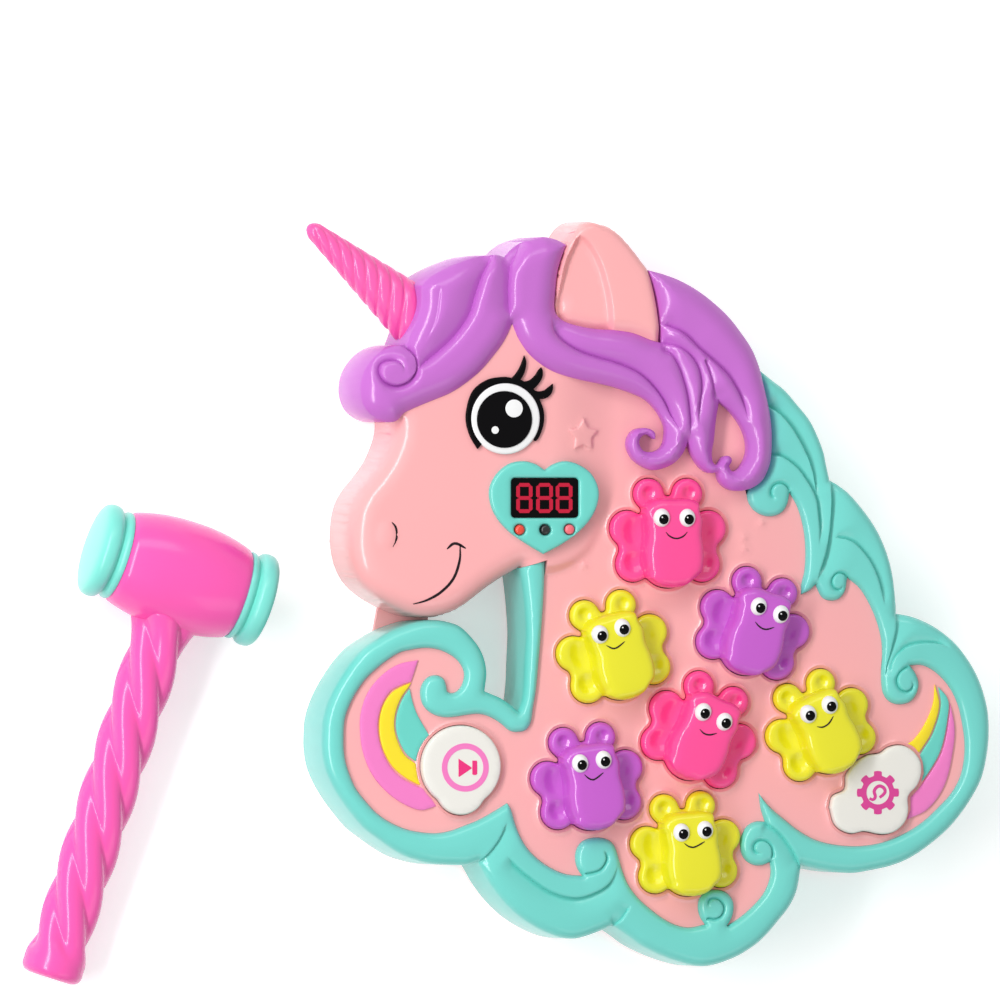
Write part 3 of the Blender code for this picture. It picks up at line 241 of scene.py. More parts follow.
def spread(points, taken, least):
    """The points that lie at least this far from each point taken, and from each other."""
    cells = {}
    for x, y in taken:
        cells.setdefault((int(x // least), int(y // least)), []).append((x, y))
    kept = []
    for x, y in points:
        i, j = int(x // least), int(y // least)
        near = [q for a in (i - 1, i, i + 1) for b in (j - 1, j, j + 1) for q in cells.get((a, b), ())]
        if all((x - qx) ** 2 + (y - qy) ** 2 > least**2 for qx, qy in near):
            kept.append((x, y))
            cells.setdefault((i, j), []).append((x, y))
    return kept


def moulding(name, outline, top, under, step, depths=(), lines=(), rows=(), holes=()):
    """A moulded piece over an outline: its face at the heights top(points), its back at under(points).

    Rows of points follow the edge at the depths given, lines are followed by edges of the face."""
    points, edges = [], []
    loops = [ccw(outline)] + [ccw(hole) for hole in holes]
    for loop in loops:
        start = len(points)
        points += loop
        edges += [(start + i, start + (i + 1) % len(loop)) for i in range(len(loop))]
    for line in trimmed(lines, outline):
        start = len(points)
        points += line
        edges += [(start + i, start + i + 1) for i in range(len(line) - 1)
                  if math.dist(line[i], line[i + 1]) < 2 * step]
    for depth in depths:
        for loop, way in zip(loops, [-1] + [1] * len(holes)):
            row = offset(loop, way * depth)
            points += spread(row, points, min(depth / 2, step / 2))
    for row in rows:
        points += spread(row, points, step / 4)
    low, high = np.array(outline).min(axis=0), np.array(outline).max(axis=0)
    grid = [(x, y) for j, y in enumerate(np.arange(low[1], high[1], step * 0.87))
            for x in np.arange(low[0] + step / 2 * (j % 2), high[0], step)]
    grid = np.array(grid)
    points += spread(grid[inside(grid, outline)], points, step * 0.6)
    flat, _, faces, *_ = delaunay_2d_cdt([Vector(p) for p in points], edges, [], 1, 1e-7, False)
    flat = np.array([tuple(p) for p in flat])
    faces = np.array([list(face) for face in faces])
    middles = flat[faces].mean(axis=1)
    kept = inside(middles, outline)
    for hole in holes:
        kept &= ~inside(middles, hole)
    faces = faces[kept]
    used, faces = np.unique(faces, return_inverse=True)
    flat, faces = flat[used], faces.reshape(-1, 3)
    a, b, c = (flat[faces[:, i]] for i in range(3))
    turned = (b[:, 0] - a[:, 0]) * (c[:, 1] - a[:, 1]) - (b[:, 1] - a[:, 1]) * (c[:, 0] - a[:, 0]) < 0
    faces[turned] = faces[turned][:, ::-1]
    ways = {(int(i), int(j)) for face in faces for i, j in zip(face, np.roll(face, -1))}
    rim = [way for way in ways if way[::-1] not in ways]
    count = len(flat)
    heights = top(flat)
    verts = np.vstack([np.column_stack([flat, heights]), np.column_stack([flat, under(flat, heights)])])
    walls = [(j, i, i + count, j + count) for i, j in sorted(rim)]
    mesh = bpy.data.meshes.new(name)
    mesh.from_pydata(verts.tolist(), [], faces.tolist() + (faces[:, ::-1] + count).tolist() + walls)
    return piece_of(mesh, name)


def piece_of(mesh, name, sharp=50):
    """A piece with its faces shaded smooth, apart from those that meet at a sharp edge."""
    mesh.update()
    mesh.shade_smooth()
    mesh.set_sharp_from_angle(angle=math.radians(sharp))
    piece = bpy.data.objects.new(name, mesh)
    bpy.context.scene.collection.objects.link(piece)
    return piece


def fillet(depth, radius):
    """How far a rounded edge lies below the face, at this depth in from the edge."""
    inner = np.clip(radius - depth, 0, radius)
    return radius - np.sqrt(np.maximum(radius**2 - inner**2, 0))


def step_up(distance, width):
    """From 0 to 1 as a signed distance goes from -width to width."""
    t = np.clip(distance / width / 2 + 0.5, 0, 1)
    return t * t * (3 - 2 * t)


def ink(code):
    """A colour written as it looks, as the light that it gives back."""
    shares = [int(code[i:i + 2], 16) / 255 for i in (0, 2, 4)]
    return [s / 12.92 if s <= 0.04045 else ((s + 0.055) / 1.055) ** 2.4 for s in shares] + [1]


def dial(node, sockets):
    """Sets the sockets of a shader node."""
    for socket, value in sockets.items():
        node.inputs[socket].default_value = value
    return node


def wire(tree, *wires):
    """Links shader nodes. Each wire names a node, its outlet, the next node and its inlet."""
    for start, outlet, end, inlet in wires:
        tree.links.new(start.outputs[outlet], end.inputs[inlet])


def moulded(name, colour, roughness=0.21, grain=0.03, glow=0.0, coat=0.15, sheen=0.4):
    """Glossy moulded plastic: a hair of flow marks in the colour, and a skin that is not quite flat."""
    material = bpy.data.materials.new(name)
    material.use_nodes = True
    nodes = material.node_tree.nodes
    shade = ink(colour)
    place = nodes.new("ShaderNodeTexCoord")
    flow = dial(nodes.new("ShaderNodeTexNoise"), {"Scale": 14, "Detail": 3})
    skin = dial(nodes.new("ShaderNodeTexNoise"), {"Scale": 160, "Detail": 2})
    tint = nodes.new("ShaderNodeMix")
    tint.data_type = "RGBA"
    dial(tint, {"A": [c * (1 - grain) for c in shade[:3]] + [1],
                "B": [min(1, c * (1 + grain)) for c in shade[:3]] + [1]})
    bump = dial(nodes.new("ShaderNodeBump"), {"Strength": 0.05, "Distance": 0.0004})
    gloss = dial(nodes.new("ShaderNodeMapRange"), {"To Min": roughness * 0.85, "To Max": roughness * 1.2})
    shader = dial(nodes["Principled BSDF"],
                  {"Coat Weight": coat, "Coat Roughness": 0.08, "Specular IOR Level": sheen})
    wire(material.node_tree, (place, "Object", flow, "Vector"), (place, "Object", skin, "Vector"),
         (flow, "Fac", tint, "Factor"), (flow, "Fac", gloss, "Value"), (skin, "Fac", bump, "Height"),
         (tint, "Result", shader, "Base Color"), (gloss, "Result", shader, "Roughness"),
         (bump, "Normal", shader, "Normal"))
    if glow:
        dial(shader, {"Emission Color": shade, "Emission Strength": glow})
    return material


def fit(piece, material, body, slot, *nodes):
    """Gives a piece its material, sets it on its body, and hides what it stands for. The slot is not used.
    """
    piece.data.materials.clear()
    piece.data.materials.append(material)
    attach(piece, body)
    if nodes:
        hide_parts(*nodes)
    return piece


head_free_pixels = [[(394, 421), (395, 432), (391, 443), (385, 459), (378, 470), (371, 479),
                     (362, 489), (356, 498), (352, 508), (350, 520), (349, 532), (349, 545),
                     (351, 558), (355, 571), (361, 582), (371, 592), (382, 600), (397, 608),
                     (410, 614), (420, 617), (430, 618), (440, 617), (450, 614), (460, 610),
                     (470, 603), (482, 593), (490, 587), (500, 580), (510, 574), (521, 568)]]
jaw_pixels = [[(521, 568), (548, 567), (566, 562), (582, 551), (592, 537), (598, 520), (604, 500),
               (611, 470), (614, 430), (613, 396), (616, 380)]]
border_pixels = [
    [(521, 568)],
    [(546, 560), (545, 590), (543, 623), (540, 659), (537, 691), (534, 709), (532, 722), (527, 730),
     (520, 732), (511, 731), (501, 723), (491, 717), (480, 714), (468, 715), (455, 717), (443, 717),
     (432, 713), (424, 705), (421, 693), (423, 684), (429, 677), (437, 675), (444, 678), (447, 684)],
    [(448, 691), (452, 693), (458, 691), (463, 684), (465, 675), (463, 667), (457, 659), (448, 653),
     (437, 649), (425, 648), (411, 650), (400, 653), (386, 662), (375, 671), (366, 680), (357, 693),
     (350, 707), (346, 720), (345, 741), (346, 757), (350, 772), (357, 788), (366, 800), (378, 813),
     (393, 823), (411, 830), (434, 833), (450, 831), (464, 826), (479, 820), (497, 810)],
    [(508, 803), (512, 809), (516, 823), (521, 836), (529, 849), (540, 860), (552, 868), (566, 874)],
    [(583, 876), (578, 868), (576, 858), (578, 848), (584, 841), (593, 838), (603, 838), (611, 841),
     (616, 847), (620, 859), (624, 872), (630, 886), (640, 899), (651, 909), (663, 918), (676, 925),
     (690, 928)],
    [(706, 925), (701, 917), (699, 907), (701, 898), (707, 892), (714, 890), (723, 891), (731, 896),
     (735, 904), (734, 916)],
    [(729, 926), (740, 919), (751, 910), (763, 897), (769, 886), (772, 874)],
    [(771, 863), (764, 866), (756, 866), (748, 862), (743, 855), (741, 845), (743, 835), (749, 826),
     (757, 822)],
    [(766, 822), (762, 809)],
    [(760, 793), (764, 799), (773, 809), (786, 820), (800, 831), (816, 840), (834, 845), (856, 847),
     (877, 845), (894, 840), (911, 832), (926, 822), (940, 809), (953, 795), (962, 779), (966, 763),
     (967, 745), (965, 727), (960, 705), (951, 687), (938, 673), (925, 666)],
    [(912, 666), (918, 674), (921, 684), (919, 694), (913, 702), (904, 705), (895, 704), (888, 699),
     (884, 690), (883, 672), (884, 655), (883, 639), (878, 620), (870, 602), (861, 588)],
    [(849, 578), (847, 591), (841, 599), (833, 601), (824, 598)],
    [(817, 585), (811, 591)],
    [(802, 595), (803, 584), (806, 571), (807, 554), (806, 536), (803, 520), (798, 505)],
    [(791, 493), (789, 504), (784, 512), (776, 516), (766, 516), (756, 511), (750, 503), (748, 495)],
]
under_hair_pixels = [[(745, 482), (750, 466), (751, 445), (745, 422), (730, 398), (710, 380), (685, 362)]]
ear_pixels = [[(659, 343), (656, 313), (652, 291), (646, 270), (638, 259), (629, 247), (620, 237.1),
               (611, 229.2), (600, 224.4), (590, 221.5), (581, 223.4), (574, 229), (568, 238), (564, 245),
               (560, 258), (556, 273), (554, 291), (553, 305)]]
jaw_end_pixels = [(655, 372), (702, 375)]
brow_pixels = [[(556, 320), (560, 345), (545, 356), (525, 335), (505, 322), (498, 330), (486, 350),
                (466, 370), (446, 384), (420, 395), (404, 402), (394, 421)]]
ear_foot_pixels = [(553, 305), (551, 316), (563, 328), (595, 335), (631, 339), (664, 350), (659, 343)]
ear_dish_pixels = [[(555, 348), (553.5, 310), (556, 286), (563, 258), (571.5, 239), (577, 233.5)],
                   [(577, 233.5), (584, 238), (592, 248), (600, 264), (606, 284), (610, 305), (613, 348)],
                   [(613, 348), (585, 350)]]
nostril_pixel = (385.2, 535.2)
star_middle_pixel = (582.5, 435.4)
star_radius = 0.0082
small_star_pixels = [(585, 566), (746, 549), (763, 523), (745, 538), (830, 598), (528, 690), (640, 905)]
small_star_radius = 0.0022
net = 0.0012
plan_step = 0.0007
head_calm_passes = 20

head_free = calmed(drawn(head_free_pixels, net), head_calm_passes)
border = drawn(border_pixels, net)
ear_edge = drawn(ear_pixels, net)
brow = drawn(brow_pixels, net)
pink_outline = head_free[:-1] + border + drawn(under_hair_pixels, net) + ear_edge + brow[:-1]
jaw = drawn(jaw_pixels, net / 2)
head_outline = head_free[:-1] + evenly(jaw + seen(jaw_end_pixels), net) + ear_edge + brow[:-1]
ear_dish = drawn(ear_dish_pixels, net / 2, ear_dish_pixels[0][0])[:-1]
ear_foot = evenly(seen(ear_foot_pixels), net)
ear_outline = ear_edge + ear_foot[1:-1]


def oval(middle, half_width, half_length, sides):
    """An oval outline, or a circle where both halves are alike."""
    x, y = middle
    angles = [math.tau * i / sides for i in range(sides)]
    return [(x + half_width * math.cos(angle), y + half_length * math.sin(angle)) for angle in angles]


def star(middle, radius, waist):
    """A five-pointed star."""
    corners = []
    for i in range(10):
        angle = math.pi / 2 + math.pi * i / 5
        out = radius if i % 2 == 0 else radius * waist
        corners.append((middle[0] + out * math.cos(angle), middle[1] + out * math.sin(angle)))
    return evenly(corners + corners[:1], radius / 12)[:-1]


# Plan of a bug cap, which its hole in the deck follows. It is a union of round lobes: two feelers,
# two wings on each side and the belly.
bug_reach = 0.0272
bug_lobe_shares = [(-0.333, 0.695, 0.261), (0.333, 0.695, 0.261), (-0.699, 0.118, 0.301),
                   (0.699, 0.118, 0.301), (-0.596, -0.478, 0.301), (0.596, -0.478, 0.301),
                   (0, -0.415, 0.463), (0, 0.135, 0.520), (-0.575, -0.19, 0.262), (0.575, -0.19, 0.262)]
bug_lobes = [tuple(bug_reach * share for share in lobe) for lobe in bug_lobe_shares]
bug_places = [
    ("pink_bug_1", (668.5, 535.5), 0, 0.99),
    ("yellow_bug_1", (614, 649.5), 15.5, 0.97),
    ("purple_bug_1", (754, 626), -17.5, 0.96),
    ("pink_bug_2", (701, 731.5), -24, 0.97),
    ("yellow_bug_2", (820.5, 727), 23.5, 0.93),
    ("purple_bug_2", (588, 780), 8, 0.96),
    ("yellow_bug_3", (686.5, 847), 5, 0.94),
]


def lobed(lobes, sides):
    """The outline of a union of circles that lie round the origin."""
    outline = []
    for i in range(sides):
        way = np.array([math.cos(math.tau * i / sides), math.sin(math.tau * i / sides)])
        reaches = []
        for x, y, radius in lobes:
            along = float(way @ (x, y))
            aside = x * x + y * y - along * along
            if aside < radius * radius and along > -radius:
                reaches.append(along + math.sqrt(radius * radius - aside))
        outline.append(tuple(way * max(reaches)))
    return outline


def moved(outline, middle, turn=0.0, scale=1.0):
    """The outline scaled, turned and set with its origin on a place."""
    cos, sin = scale * math.cos(turn), scale * math.sin(turn)
    return [(middle[0] + x * cos - y * sin, middle[1] + x * sin + y * cos) for x, y in outline]


def softened(outline, rounds):
    """A closed outline with its corners eased."""
    xy = np.array(outline)
    for _ in range(rounds):
        xy = (np.roll(xy, 1, axis=0) + 2 * xy + np.roll(xy, -1, axis=0)) / 4
    return [tuple(p) for p in xy]


def reeled(outline, step):
    """A closed outline with its points a step apart."""
    return evenly(list(outline) + [outline[0]], step)[:-1]


bug_plan = softened(reeled(lobed(bug_lobes, sides=720), plan_step), rounds=6)
bug_spots = {name: (seen([spot])[0], math.radians(turn), size) for name, spot, turn, size in bug_places}
bug_holes = [moved(offset(bug_plan, cap_clearance), *where) for where in bug_spots.values()]

# Plans of the two buttons, which their holes in the deck follow: a round one with a lobe below it,
# and a cloud.
play_pixel = (461, 766.1)
play_radius = 0.0183
play_lobe = (0, -0.0107, 0.0112)
cloud_pixels = [(831, 808), (834, 797), (846, 790), (848, 775), (857, 763), (869, 756), (881, 754),
                (890, 748), (902, 746), (913, 751), (921, 762), (922, 774), (918, 786), (909, 797),
                (909, 811), (906, 822), (896, 832), (883, 835), (865, 832), (851, 834), (837, 826)]
play_round = lobed([(0, 0, play_radius), play_lobe], sides=240)
play_plan = moved(softened(reeled(play_round, plan_step), rounds=3), seen([play_pixel])[0])
cloud_plan = reeled(smooth(seen(cloud_pixels + cloud_pixels[:1])), plan_step)
button_holes = [offset(plan, cap_clearance) for plan in (play_plan, cloud_plan)]

stars = [star(seen([star_middle_pixel])[0], star_radius, star_waist)]
small_stars = [star(middle, small_star_radius, small_star_waist) for middle in seen(small_star_pixels)]


def pink_top(points):
    """The face of the pink shell."""
    in_head = inside(points, head_outline)
    from_jaw, near = reach_to(points, jaw, False)
    from_jaw *= np.where(in_head, 1, -1)
    up_jaw = np.clip(near / len(jaw) * jaw_ease_rate, 0, 1)
    fold = step_up(from_jaw + jaw_slope_low / 2, jaw_slope_low)
    slope = step_up(from_jaw - jaw_slope_high + jaw_slope_low, jaw_slope_high)
    z = deck_level + (head_level - deck_level) * (fold + (slope - fold) * up_jaw)
    z -= fillet(reach_to(points, head_free, False)[0], muzzle_round)
    in_ear = depth_in(points, ear_outline)
    from_hair = reach_to(points, ear_foot, False)[0]
    z += (ear_level - head_level) * step_up(from_hair - ear_ramp / 2, ear_ramp / 2) * (in_ear > 0)
    z -= np.where(in_ear > -ear_lead, fillet(reach_to(points, ear_edge, False)[0], ear_round), 0)
    z -= ear_dish_depth * step_up(depth_in(points, ear_dish) - ear_dish_slope, ear_dish_slope)
    for hole in deck_holes:
        z += lip_rise * np.exp(-(((reach_to(points, hole)[0] - lip_away) / lip_width) ** 2))
    for outline in stars:
        z += star_rise * step_up(depth_in(points, outline) - star_slope / 2, star_slope)
    for outline in small_stars:
        z += star_rise / 2 * step_up(depth_in(points, outline), small_star_slope)
    away = ((points - nostril_middle) / (nostril_half_width, nostril_half_length)) ** 2
    return z + nostril_rise * np.sqrt(np.clip(1 - away.sum(axis=1), 0, 1))


def hollow(outline, wall, level):
    """The back of a shell: its walls reach down to the foot, and its face is a few millimetres thick."""
    def back(points, heights):
        near = reach_to(points, outline)[0] < wall
        return np.where(near, shell_foot, np.maximum(np.minimum(level, heights - wall), shell_foot))
    return back


nostril_middle = seen([nostril_pixel])[0]
shell_pinks = moulded("shell_pink", shell_pink)
deck_holes = bug_holes + button_holes
lip_rows = [offset(hole, depth) for hole in deck_holes for depth in lip_depths]
star_rows = [offset(outline, star_slope * share) for outline in stars for share in (0.5, -1, -2)]
star_rows += [row for outline in small_stars for row in (outline, offset(outline, -small_star_slope))]
jaw_rows = [beside(jaw, side * jaw_slope_low * share) for side in (-1, 1) for share in (0, 0.5, 1, 1.5)]
jaw_rows += [offset(head_outline, -depth) for depth in muzzle_depths]
ear_rows = [offset(ear_dish, -share * ear_dish_slope) for share in (-0.2, 0.2, 0.6, 1, 1.4, 2)]
ear_rows += [offset(ear_outline, -share * ear_round) for share in (0.3, 0.7, 1.1)]
front = moulding("front_moulding", pink_outline, pink_top, hollow(pink_outline, shell_wall, deck_under),
                 shell_step, shell_depths, [outline + outline[:1] for outline in stars],
                 lip_rows + star_rows + jaw_rows + ear_rows, deck_holes)
fit(front, shell_pinks, "console", "pink_shell", "front_shell")

# Mane frame: one aqua moulding round the deck, of locks that overlap and end in scrolls. Each lock
# has a lip along its edge that drops onto the next one.
frame_level = 0.042
frame_outer_round = 0.0042
frame_inner_round = 0.0030
frame_crown = 0.0012
frame_crown_reach = 0.009
frame_under = 0.0312
frame_step = 0.0014
frame_depths = (0.0004, 0.001, 0.0018, 0.0028, 0.004)
frame_edge = 0.0012
groove_depth, groove_reach = 0.0020, 0.0026
crease_aways = (0.0004, 0.0008, 0.0013, 0.0020, 0.0030)
crease_start_share, crease_end_share = 0.05, 0.10
crease_step, scroll_step = 0.0008, 0.0005
shell_aqua = "70D3C9"
frame_outer_pixels = [
    [(752, 487), (760, 481), (766, 470), (769, 459), (770, 438), (769, 421), (766, 403), (761, 382),
     (757, 366)],
    [(757, 366), (773, 379), (787, 390), (800, 405), (812, 420), (820, 436), (826, 452), (829, 466)],
    [(832, 480), (841, 485), (851, 493), (865, 509), (877, 526), (886, 544), (893, 565), (897, 588)],
    [(899, 614), (911, 616), (923, 620), (937, 627), (951, 637), (963, 649), (976, 668), (985, 688),
     (991, 712), (992, 738), (989, 762), (984, 781), (974, 800), (963, 816), (950, 831), (931, 847),
     (911, 860), (893, 867), (875, 871), (856, 874), (838, 873), (820, 870)],
    [(803, 866), (801, 881), (798, 894), (791, 908), (780, 922), (769, 935), (757, 946), (735, 959),
     (706, 967), (679, 962), (646, 948), (626, 934)],
    [(614, 926), (600, 932), (582, 938), (571, 939), (556, 936), (538, 928), (521, 917), (506, 903),
     (492, 885), (484, 871)],
    [(479, 862), (468, 865), (452, 865), (435, 864), (421, 861), (406, 856), (392, 848), (378, 838),
     (365, 828), (353, 814), (342, 799), (333, 784), (326, 767), (323, 749), (323, 733), (324, 720),
     (328, 705), (334, 691), (342, 677), (353, 661), (365, 648), (378, 639), (392, 631), (407, 625),
     (421, 621), (437, 620), (450, 622), (461, 626), (472, 636), (481, 648), (486, 660), (488, 673),
     (487, 684)],
    [(486, 691), (493, 694), (502, 698), (511, 704)],
    [(519, 711), (523, 702), (525, 685), (526, 660), (527, 635), (526, 612), (524, 592), (521, 568)],
]
# Each crease: its points, the side on which the upper lock lies, its depth and its reach.
frame_creases = [
    ([(763, 401), (768.3, 405), (781, 413.4), (791.2, 424.8), (800.2, 439), (806.5, 451.6), (811.6, 464.4),
      (814.8, 478.4), (818, 494), (819.5, 508)], -1, 0.0034, 0.011),
    ([(762, 454), (769.5, 455), (781, 455.5), (790, 460.6), (799, 468.2), (806.5, 478.4), (813, 489),
      (817.4, 500), (819.3, 514), (820.6, 530), (819, 548)], -1, 0.0028, 0.008),
    ([(832, 478), (832.7, 498), (832, 517), (830, 536), (827, 553), (822, 569), (817, 584)],
     -1, 0.0032, 0.012),
    ([(831, 536), (835, 537), (845, 538.4), (855, 542.2), (864, 551), (872, 562), (878.5, 576), (883, 592),
      (886, 608)], -1, 0.0026, 0.009),
    ([(898, 612), (897, 631), (892, 652), (888, 668), (886, 680)], -1, 0.0022, 0.011),
    ([(890.6, 676), (893.7, 662), (899.8, 653), (910, 645.7), (924.3, 642.7), (940.6, 643.7),
      (952, 649)], -1, 0.0022, 0.008),
    ([(506, 855), (515, 866), (528, 877), (540, 886), (552, 893), (566, 897.5), (579, 898.4), (595, 893.6),
      (607.8, 885.7), (615, 874.5), (618, 862)], 1, 0.0026, 0.009),
    ([(764, 822), (780, 834.5), (791, 849), (798, 861.5), (802, 870)], 1, 0.0024, 0.010),
    ([(479, 863), (490, 852), (500, 838), (507, 822)], 1, 0.0018, 0.009),
    ([(614, 926), (622, 918), (630, 905)], -1, 0.0016, 0.009),
]
# The groove that winds into each scroll: its points and the side on which its eye lies.
frame_scrolls = [
    ([(790.5, 491.5), (786, 485.4), (779.7, 483.2), (774, 486), (771.5, 491.2), (772.7, 496.5),
      (777, 499)], 1),
    ([(848.8, 578.4), (844, 574), (837.6, 573.8), (832.8, 580), (834.5, 587.5), (840.6, 589.2),
      (843.5, 584.5)], 1),
    ([(912, 666.5), (905.9, 669), (900, 674.3), (897.8, 682.4), (901.8, 690), (909, 691.5),
      (913.5, 686), (911, 680)], 1),
    ([(583.5, 874), (591.9, 872.7), (599.9, 869.7), (604.8, 863.3), (606.2, 857), (603, 850)], 1),
    ([(706, 923), (708, 919), (714.7, 919.5), (721.3, 916), (723.6, 908), (719.4, 901), (712, 899.5),
      (708.3, 904.8), (711.5, 909.6)], 1),
    ([(771.5, 861), (772.5, 853.8), (770.3, 846), (764.1, 841.4), (757, 842.8), (754, 849),
      (757.7, 853.8), (763, 853)], 1),
]


def creased(points, creases, edge):
    """How far the creases press a face down. The upper lock's edge is rounded, the lower one is coved."""
    press = np.zeros(len(points))
    for line, side, depth, reach in creases:
        away, near = reach_to(points, line, False)
        line = np.array(line)
        ways = np.gradient(line, axis=0)[near]
        gone = points - line[near]
        left = ways[:, 0] * gone[:, 1] - ways[:, 1] * gone[:, 0] > 0
        share = near / (len(line) - 1)
        fade = step_up(share - crease_start_share, crease_start_share)
        fade *= step_up(1 - crease_end_share - share, crease_end_share)
        rounded_edge = fillet(np.minimum(away, edge), edge) / edge
        cove = (1 - np.clip(away / reach, 0, 1)) ** 2
        press = np.maximum(press, depth * fade * np.where(left == (side > 0), rounded_edge, cove))
    return press


frame_outer = drawn(frame_outer_pixels, net)
frame_border = drawn(border_pixels[1:], net)
frame_outline = frame_outer + frame_border
frame_lines = [(evenly(smooth(seen(line)), crease_step), side, depth, reach)
               for line, side, depth, reach in frame_creases]
scroll_lines = [(evenly(smooth(seen(line)), scroll_step), side, groove_depth, groove_reach)
                for line, side in frame_scrolls]


def frame_top(points):
    """The face of the mane frame."""
    from_outer = reach_to(points, frame_outer, False)[0]
    from_deck = reach_to(points, frame_border, False)[0]
    z = frame_level - fillet(from_outer, frame_outer_round) - fillet(from_deck, frame_inner_round)
    z -= frame_crown * (1 - np.clip(np.minimum(from_outer, from_deck) / frame_crown_reach, 0, 1)) ** 2
    return z - creased(points, frame_lines + scroll_lines, frame_edge)


def rows_of(creases, aways):
    """Rows of points along both sides of each crease."""
    return [beside(line, way * away) for line, *_ in creases for way in (-1, 1) for away in aways]


shell_aquas = moulded("shell_aqua", shell_aqua)
mane = moulding("mane_moulding", frame_outline, frame_top, hollow(frame_outline, shell_wall, frame_under),
                frame_step, frame_depths, [line for line, *_ in frame_lines + scroll_lines],
                trimmed(rows_of(frame_lines + scroll_lines, crease_aways), frame_outline))
fit(mane, shell_aquas, "console", "aqua_shell", "mane_frame")

# Hair: a purple moulding that overhangs the head, in locks that sweep from the crown to curls. The
# ear stands in a gap of it.
hair_level = 0.050
hair_edge_drop, hair_edge_power = 0.0058, 2.4
hair_swell = 0.0110
lock_edge = 0.0055
curl_edge, curl_depth, curl_reach, curl_step = 0.0016, 0.0032, 0.0042, 0.0006
hair_skin = 0.003
hair_seat, hair_deck_gap, hair_overlap = 0.004, 0.0002, 0.001
hair_step = 0.0013
hair_depths = (0.0004, 0.001, 0.002, 0.0035)
lock_aways = (0.0004, 0.0009, 0.0016, 0.0026, 0.0040)
hair_purple = "C169C8"
hair_pixels = [
    [(564, 245), (557, 241), (548, 238), (541, 237), (532, 239), (520, 243), (511, 249)],
    [(503, 257), (495, 255), (482, 256), (470, 258), (458, 262), (446, 267), (434, 273), (424, 280)],
    [(419, 287), (419, 304), (415, 318), (409, 332)],
    [(404, 345), (393, 346), (381, 350), (370, 359), (361, 373), (358, 387), (359, 399), (364, 410),
     (373, 418), (384, 422), (394, 421), (402, 413), (410, 409), (424, 403), (439, 397), (450, 392),
     (465, 382), (479, 370), (491, 356), (500, 344), (506, 333)],
    [(510, 323), (512, 329), (517, 340), (526, 353), (537, 363), (550, 371), (564, 376), (580, 380),
     (600, 384), (616, 388), (631, 393), (644, 399), (653, 407), (660, 417), (664, 427), (664, 437),
     (662, 445), (657, 450), (650, 452), (642, 451), (638, 446), (637, 441), (640, 436), (645, 434),
     (649, 436)],
    [(653, 439), (653, 433), (648, 429), (641, 428), (633, 430), (628, 436), (626, 444), (628, 452),
     (633, 460), (641, 466), (651, 470), (662, 468), (672, 463), (679, 456), (683, 449)],
    [(686, 441), (690, 453), (695, 462), (701, 469), (708, 473)],
    [(716, 472), (719, 482), (727, 489), (736, 491), (744, 490), (752, 487), (760, 481), (766, 470),
     (769, 459), (770, 438), (769, 421), (766, 403), (761, 382), (757, 366), (750, 349), (738, 331),
     (726, 316), (711, 302), (695, 290), (677, 280), (661, 274)],
    [(646, 270), (653, 291), (657, 313)],
    [(660, 343), (649, 340), (631, 333), (613, 330), (595, 329), (577, 326), (562, 321), (554, 314),
     (552, 305), (553, 291), (555, 273), (559, 258)],
]
hair_window_pixels = [
    [(717, 401), (729, 411), (739, 424), (745, 438), (746, 452), (742, 463), (736, 470), (730, 471)],
    [(727, 466), (730, 460), (727, 456), (722, 457), (719, 461), (715, 465), (711, 462), (710, 452),
     (712, 440), (714, 420)],
]
hair_creases = [
    ([(494, 251), (487, 262), (478.6, 277), (472, 296), (465.8, 315), (453, 334), (437, 350), (421, 363),
      (404, 378)], 1, 0.0046, 0.014),
    ([(524, 238), (517, 248), (511, 260), (507.5, 266.5), (505.5, 282), (505.5, 305), (507, 321)],
     1, 0.0044, 0.013),
    ([(547.5, 316), (552, 331), (561, 341.5), (575.5, 350.5), (595, 357.5), (611, 362), (625.5, 367.5),
      (638, 374.5), (651, 386.5), (661.5, 400.5), (668.5, 415), (676, 429.5), (681, 440)],
     -1, 0.0044, 0.011),
    ([(656, 350), (666, 352), (674, 364), (680, 380), (684, 396), (686, 414), (688, 440)],
     -1, 0.0032, 0.007),
    ([(656, 343), (672, 345), (686, 354), (695, 368), (698, 386), (696, 404), (694, 430)],
     -1, 0.0032, 0.007),
    ([(656, 323.5), (670.5, 327), (685, 336), (695.5, 347), (710, 359.5), (724.5, 373.5), (735, 390),
      (741, 404), (746, 424)], -1, 0.0044, 0.013),
    ([(700, 357), (707, 375), (711, 392), (713, 403)], -1, 0.0028, 0.007),
    ([(436, 285), (431, 320), (419, 345), (409, 358)], 1, 0.0010, 0.008),
]
curl_pixels = [(397, 345.5), (403.8, 348.3), (410.5, 356), (412.8, 366), (410.6, 374.3), (403.8, 382.3),
               (392, 386), (381.4, 382.5), (376.3, 375.4), (376.3, 367.2), (381.4, 362), (389.7, 360.7),
               (396.5, 363.6), (399.5, 369), (397, 374.5)]
hair_outline = drawn(hair_pixels, net, hair_pixels[0][0])[:-1]
hair_window = drawn(hair_window_pixels, net / 2, hair_window_pixels[0][0])[:-1]
hair_lines = [(evenly(smooth(seen(line)), crease_step), side, depth, reach)
              for line, side, depth, reach in hair_creases]
curl_lines = [(evenly(smooth(seen(curl_pixels)), curl_step), -1, curl_depth, curl_reach)]
over_pink = offset(pink_outline, -hair_overlap)


def hair_top(points):
    """The face of the hair."""
    away = np.minimum(reach_to(points, hair_outline)[0], reach_to(points, hair_window)[0])
    edge = 1 - np.clip(away / hair_swell, 0, 1)
    z = hair_level - hair_edge_drop * edge**hair_edge_power
    return z - np.maximum(creased(points, hair_lines, lock_edge), creased(points, curl_lines, curl_edge))


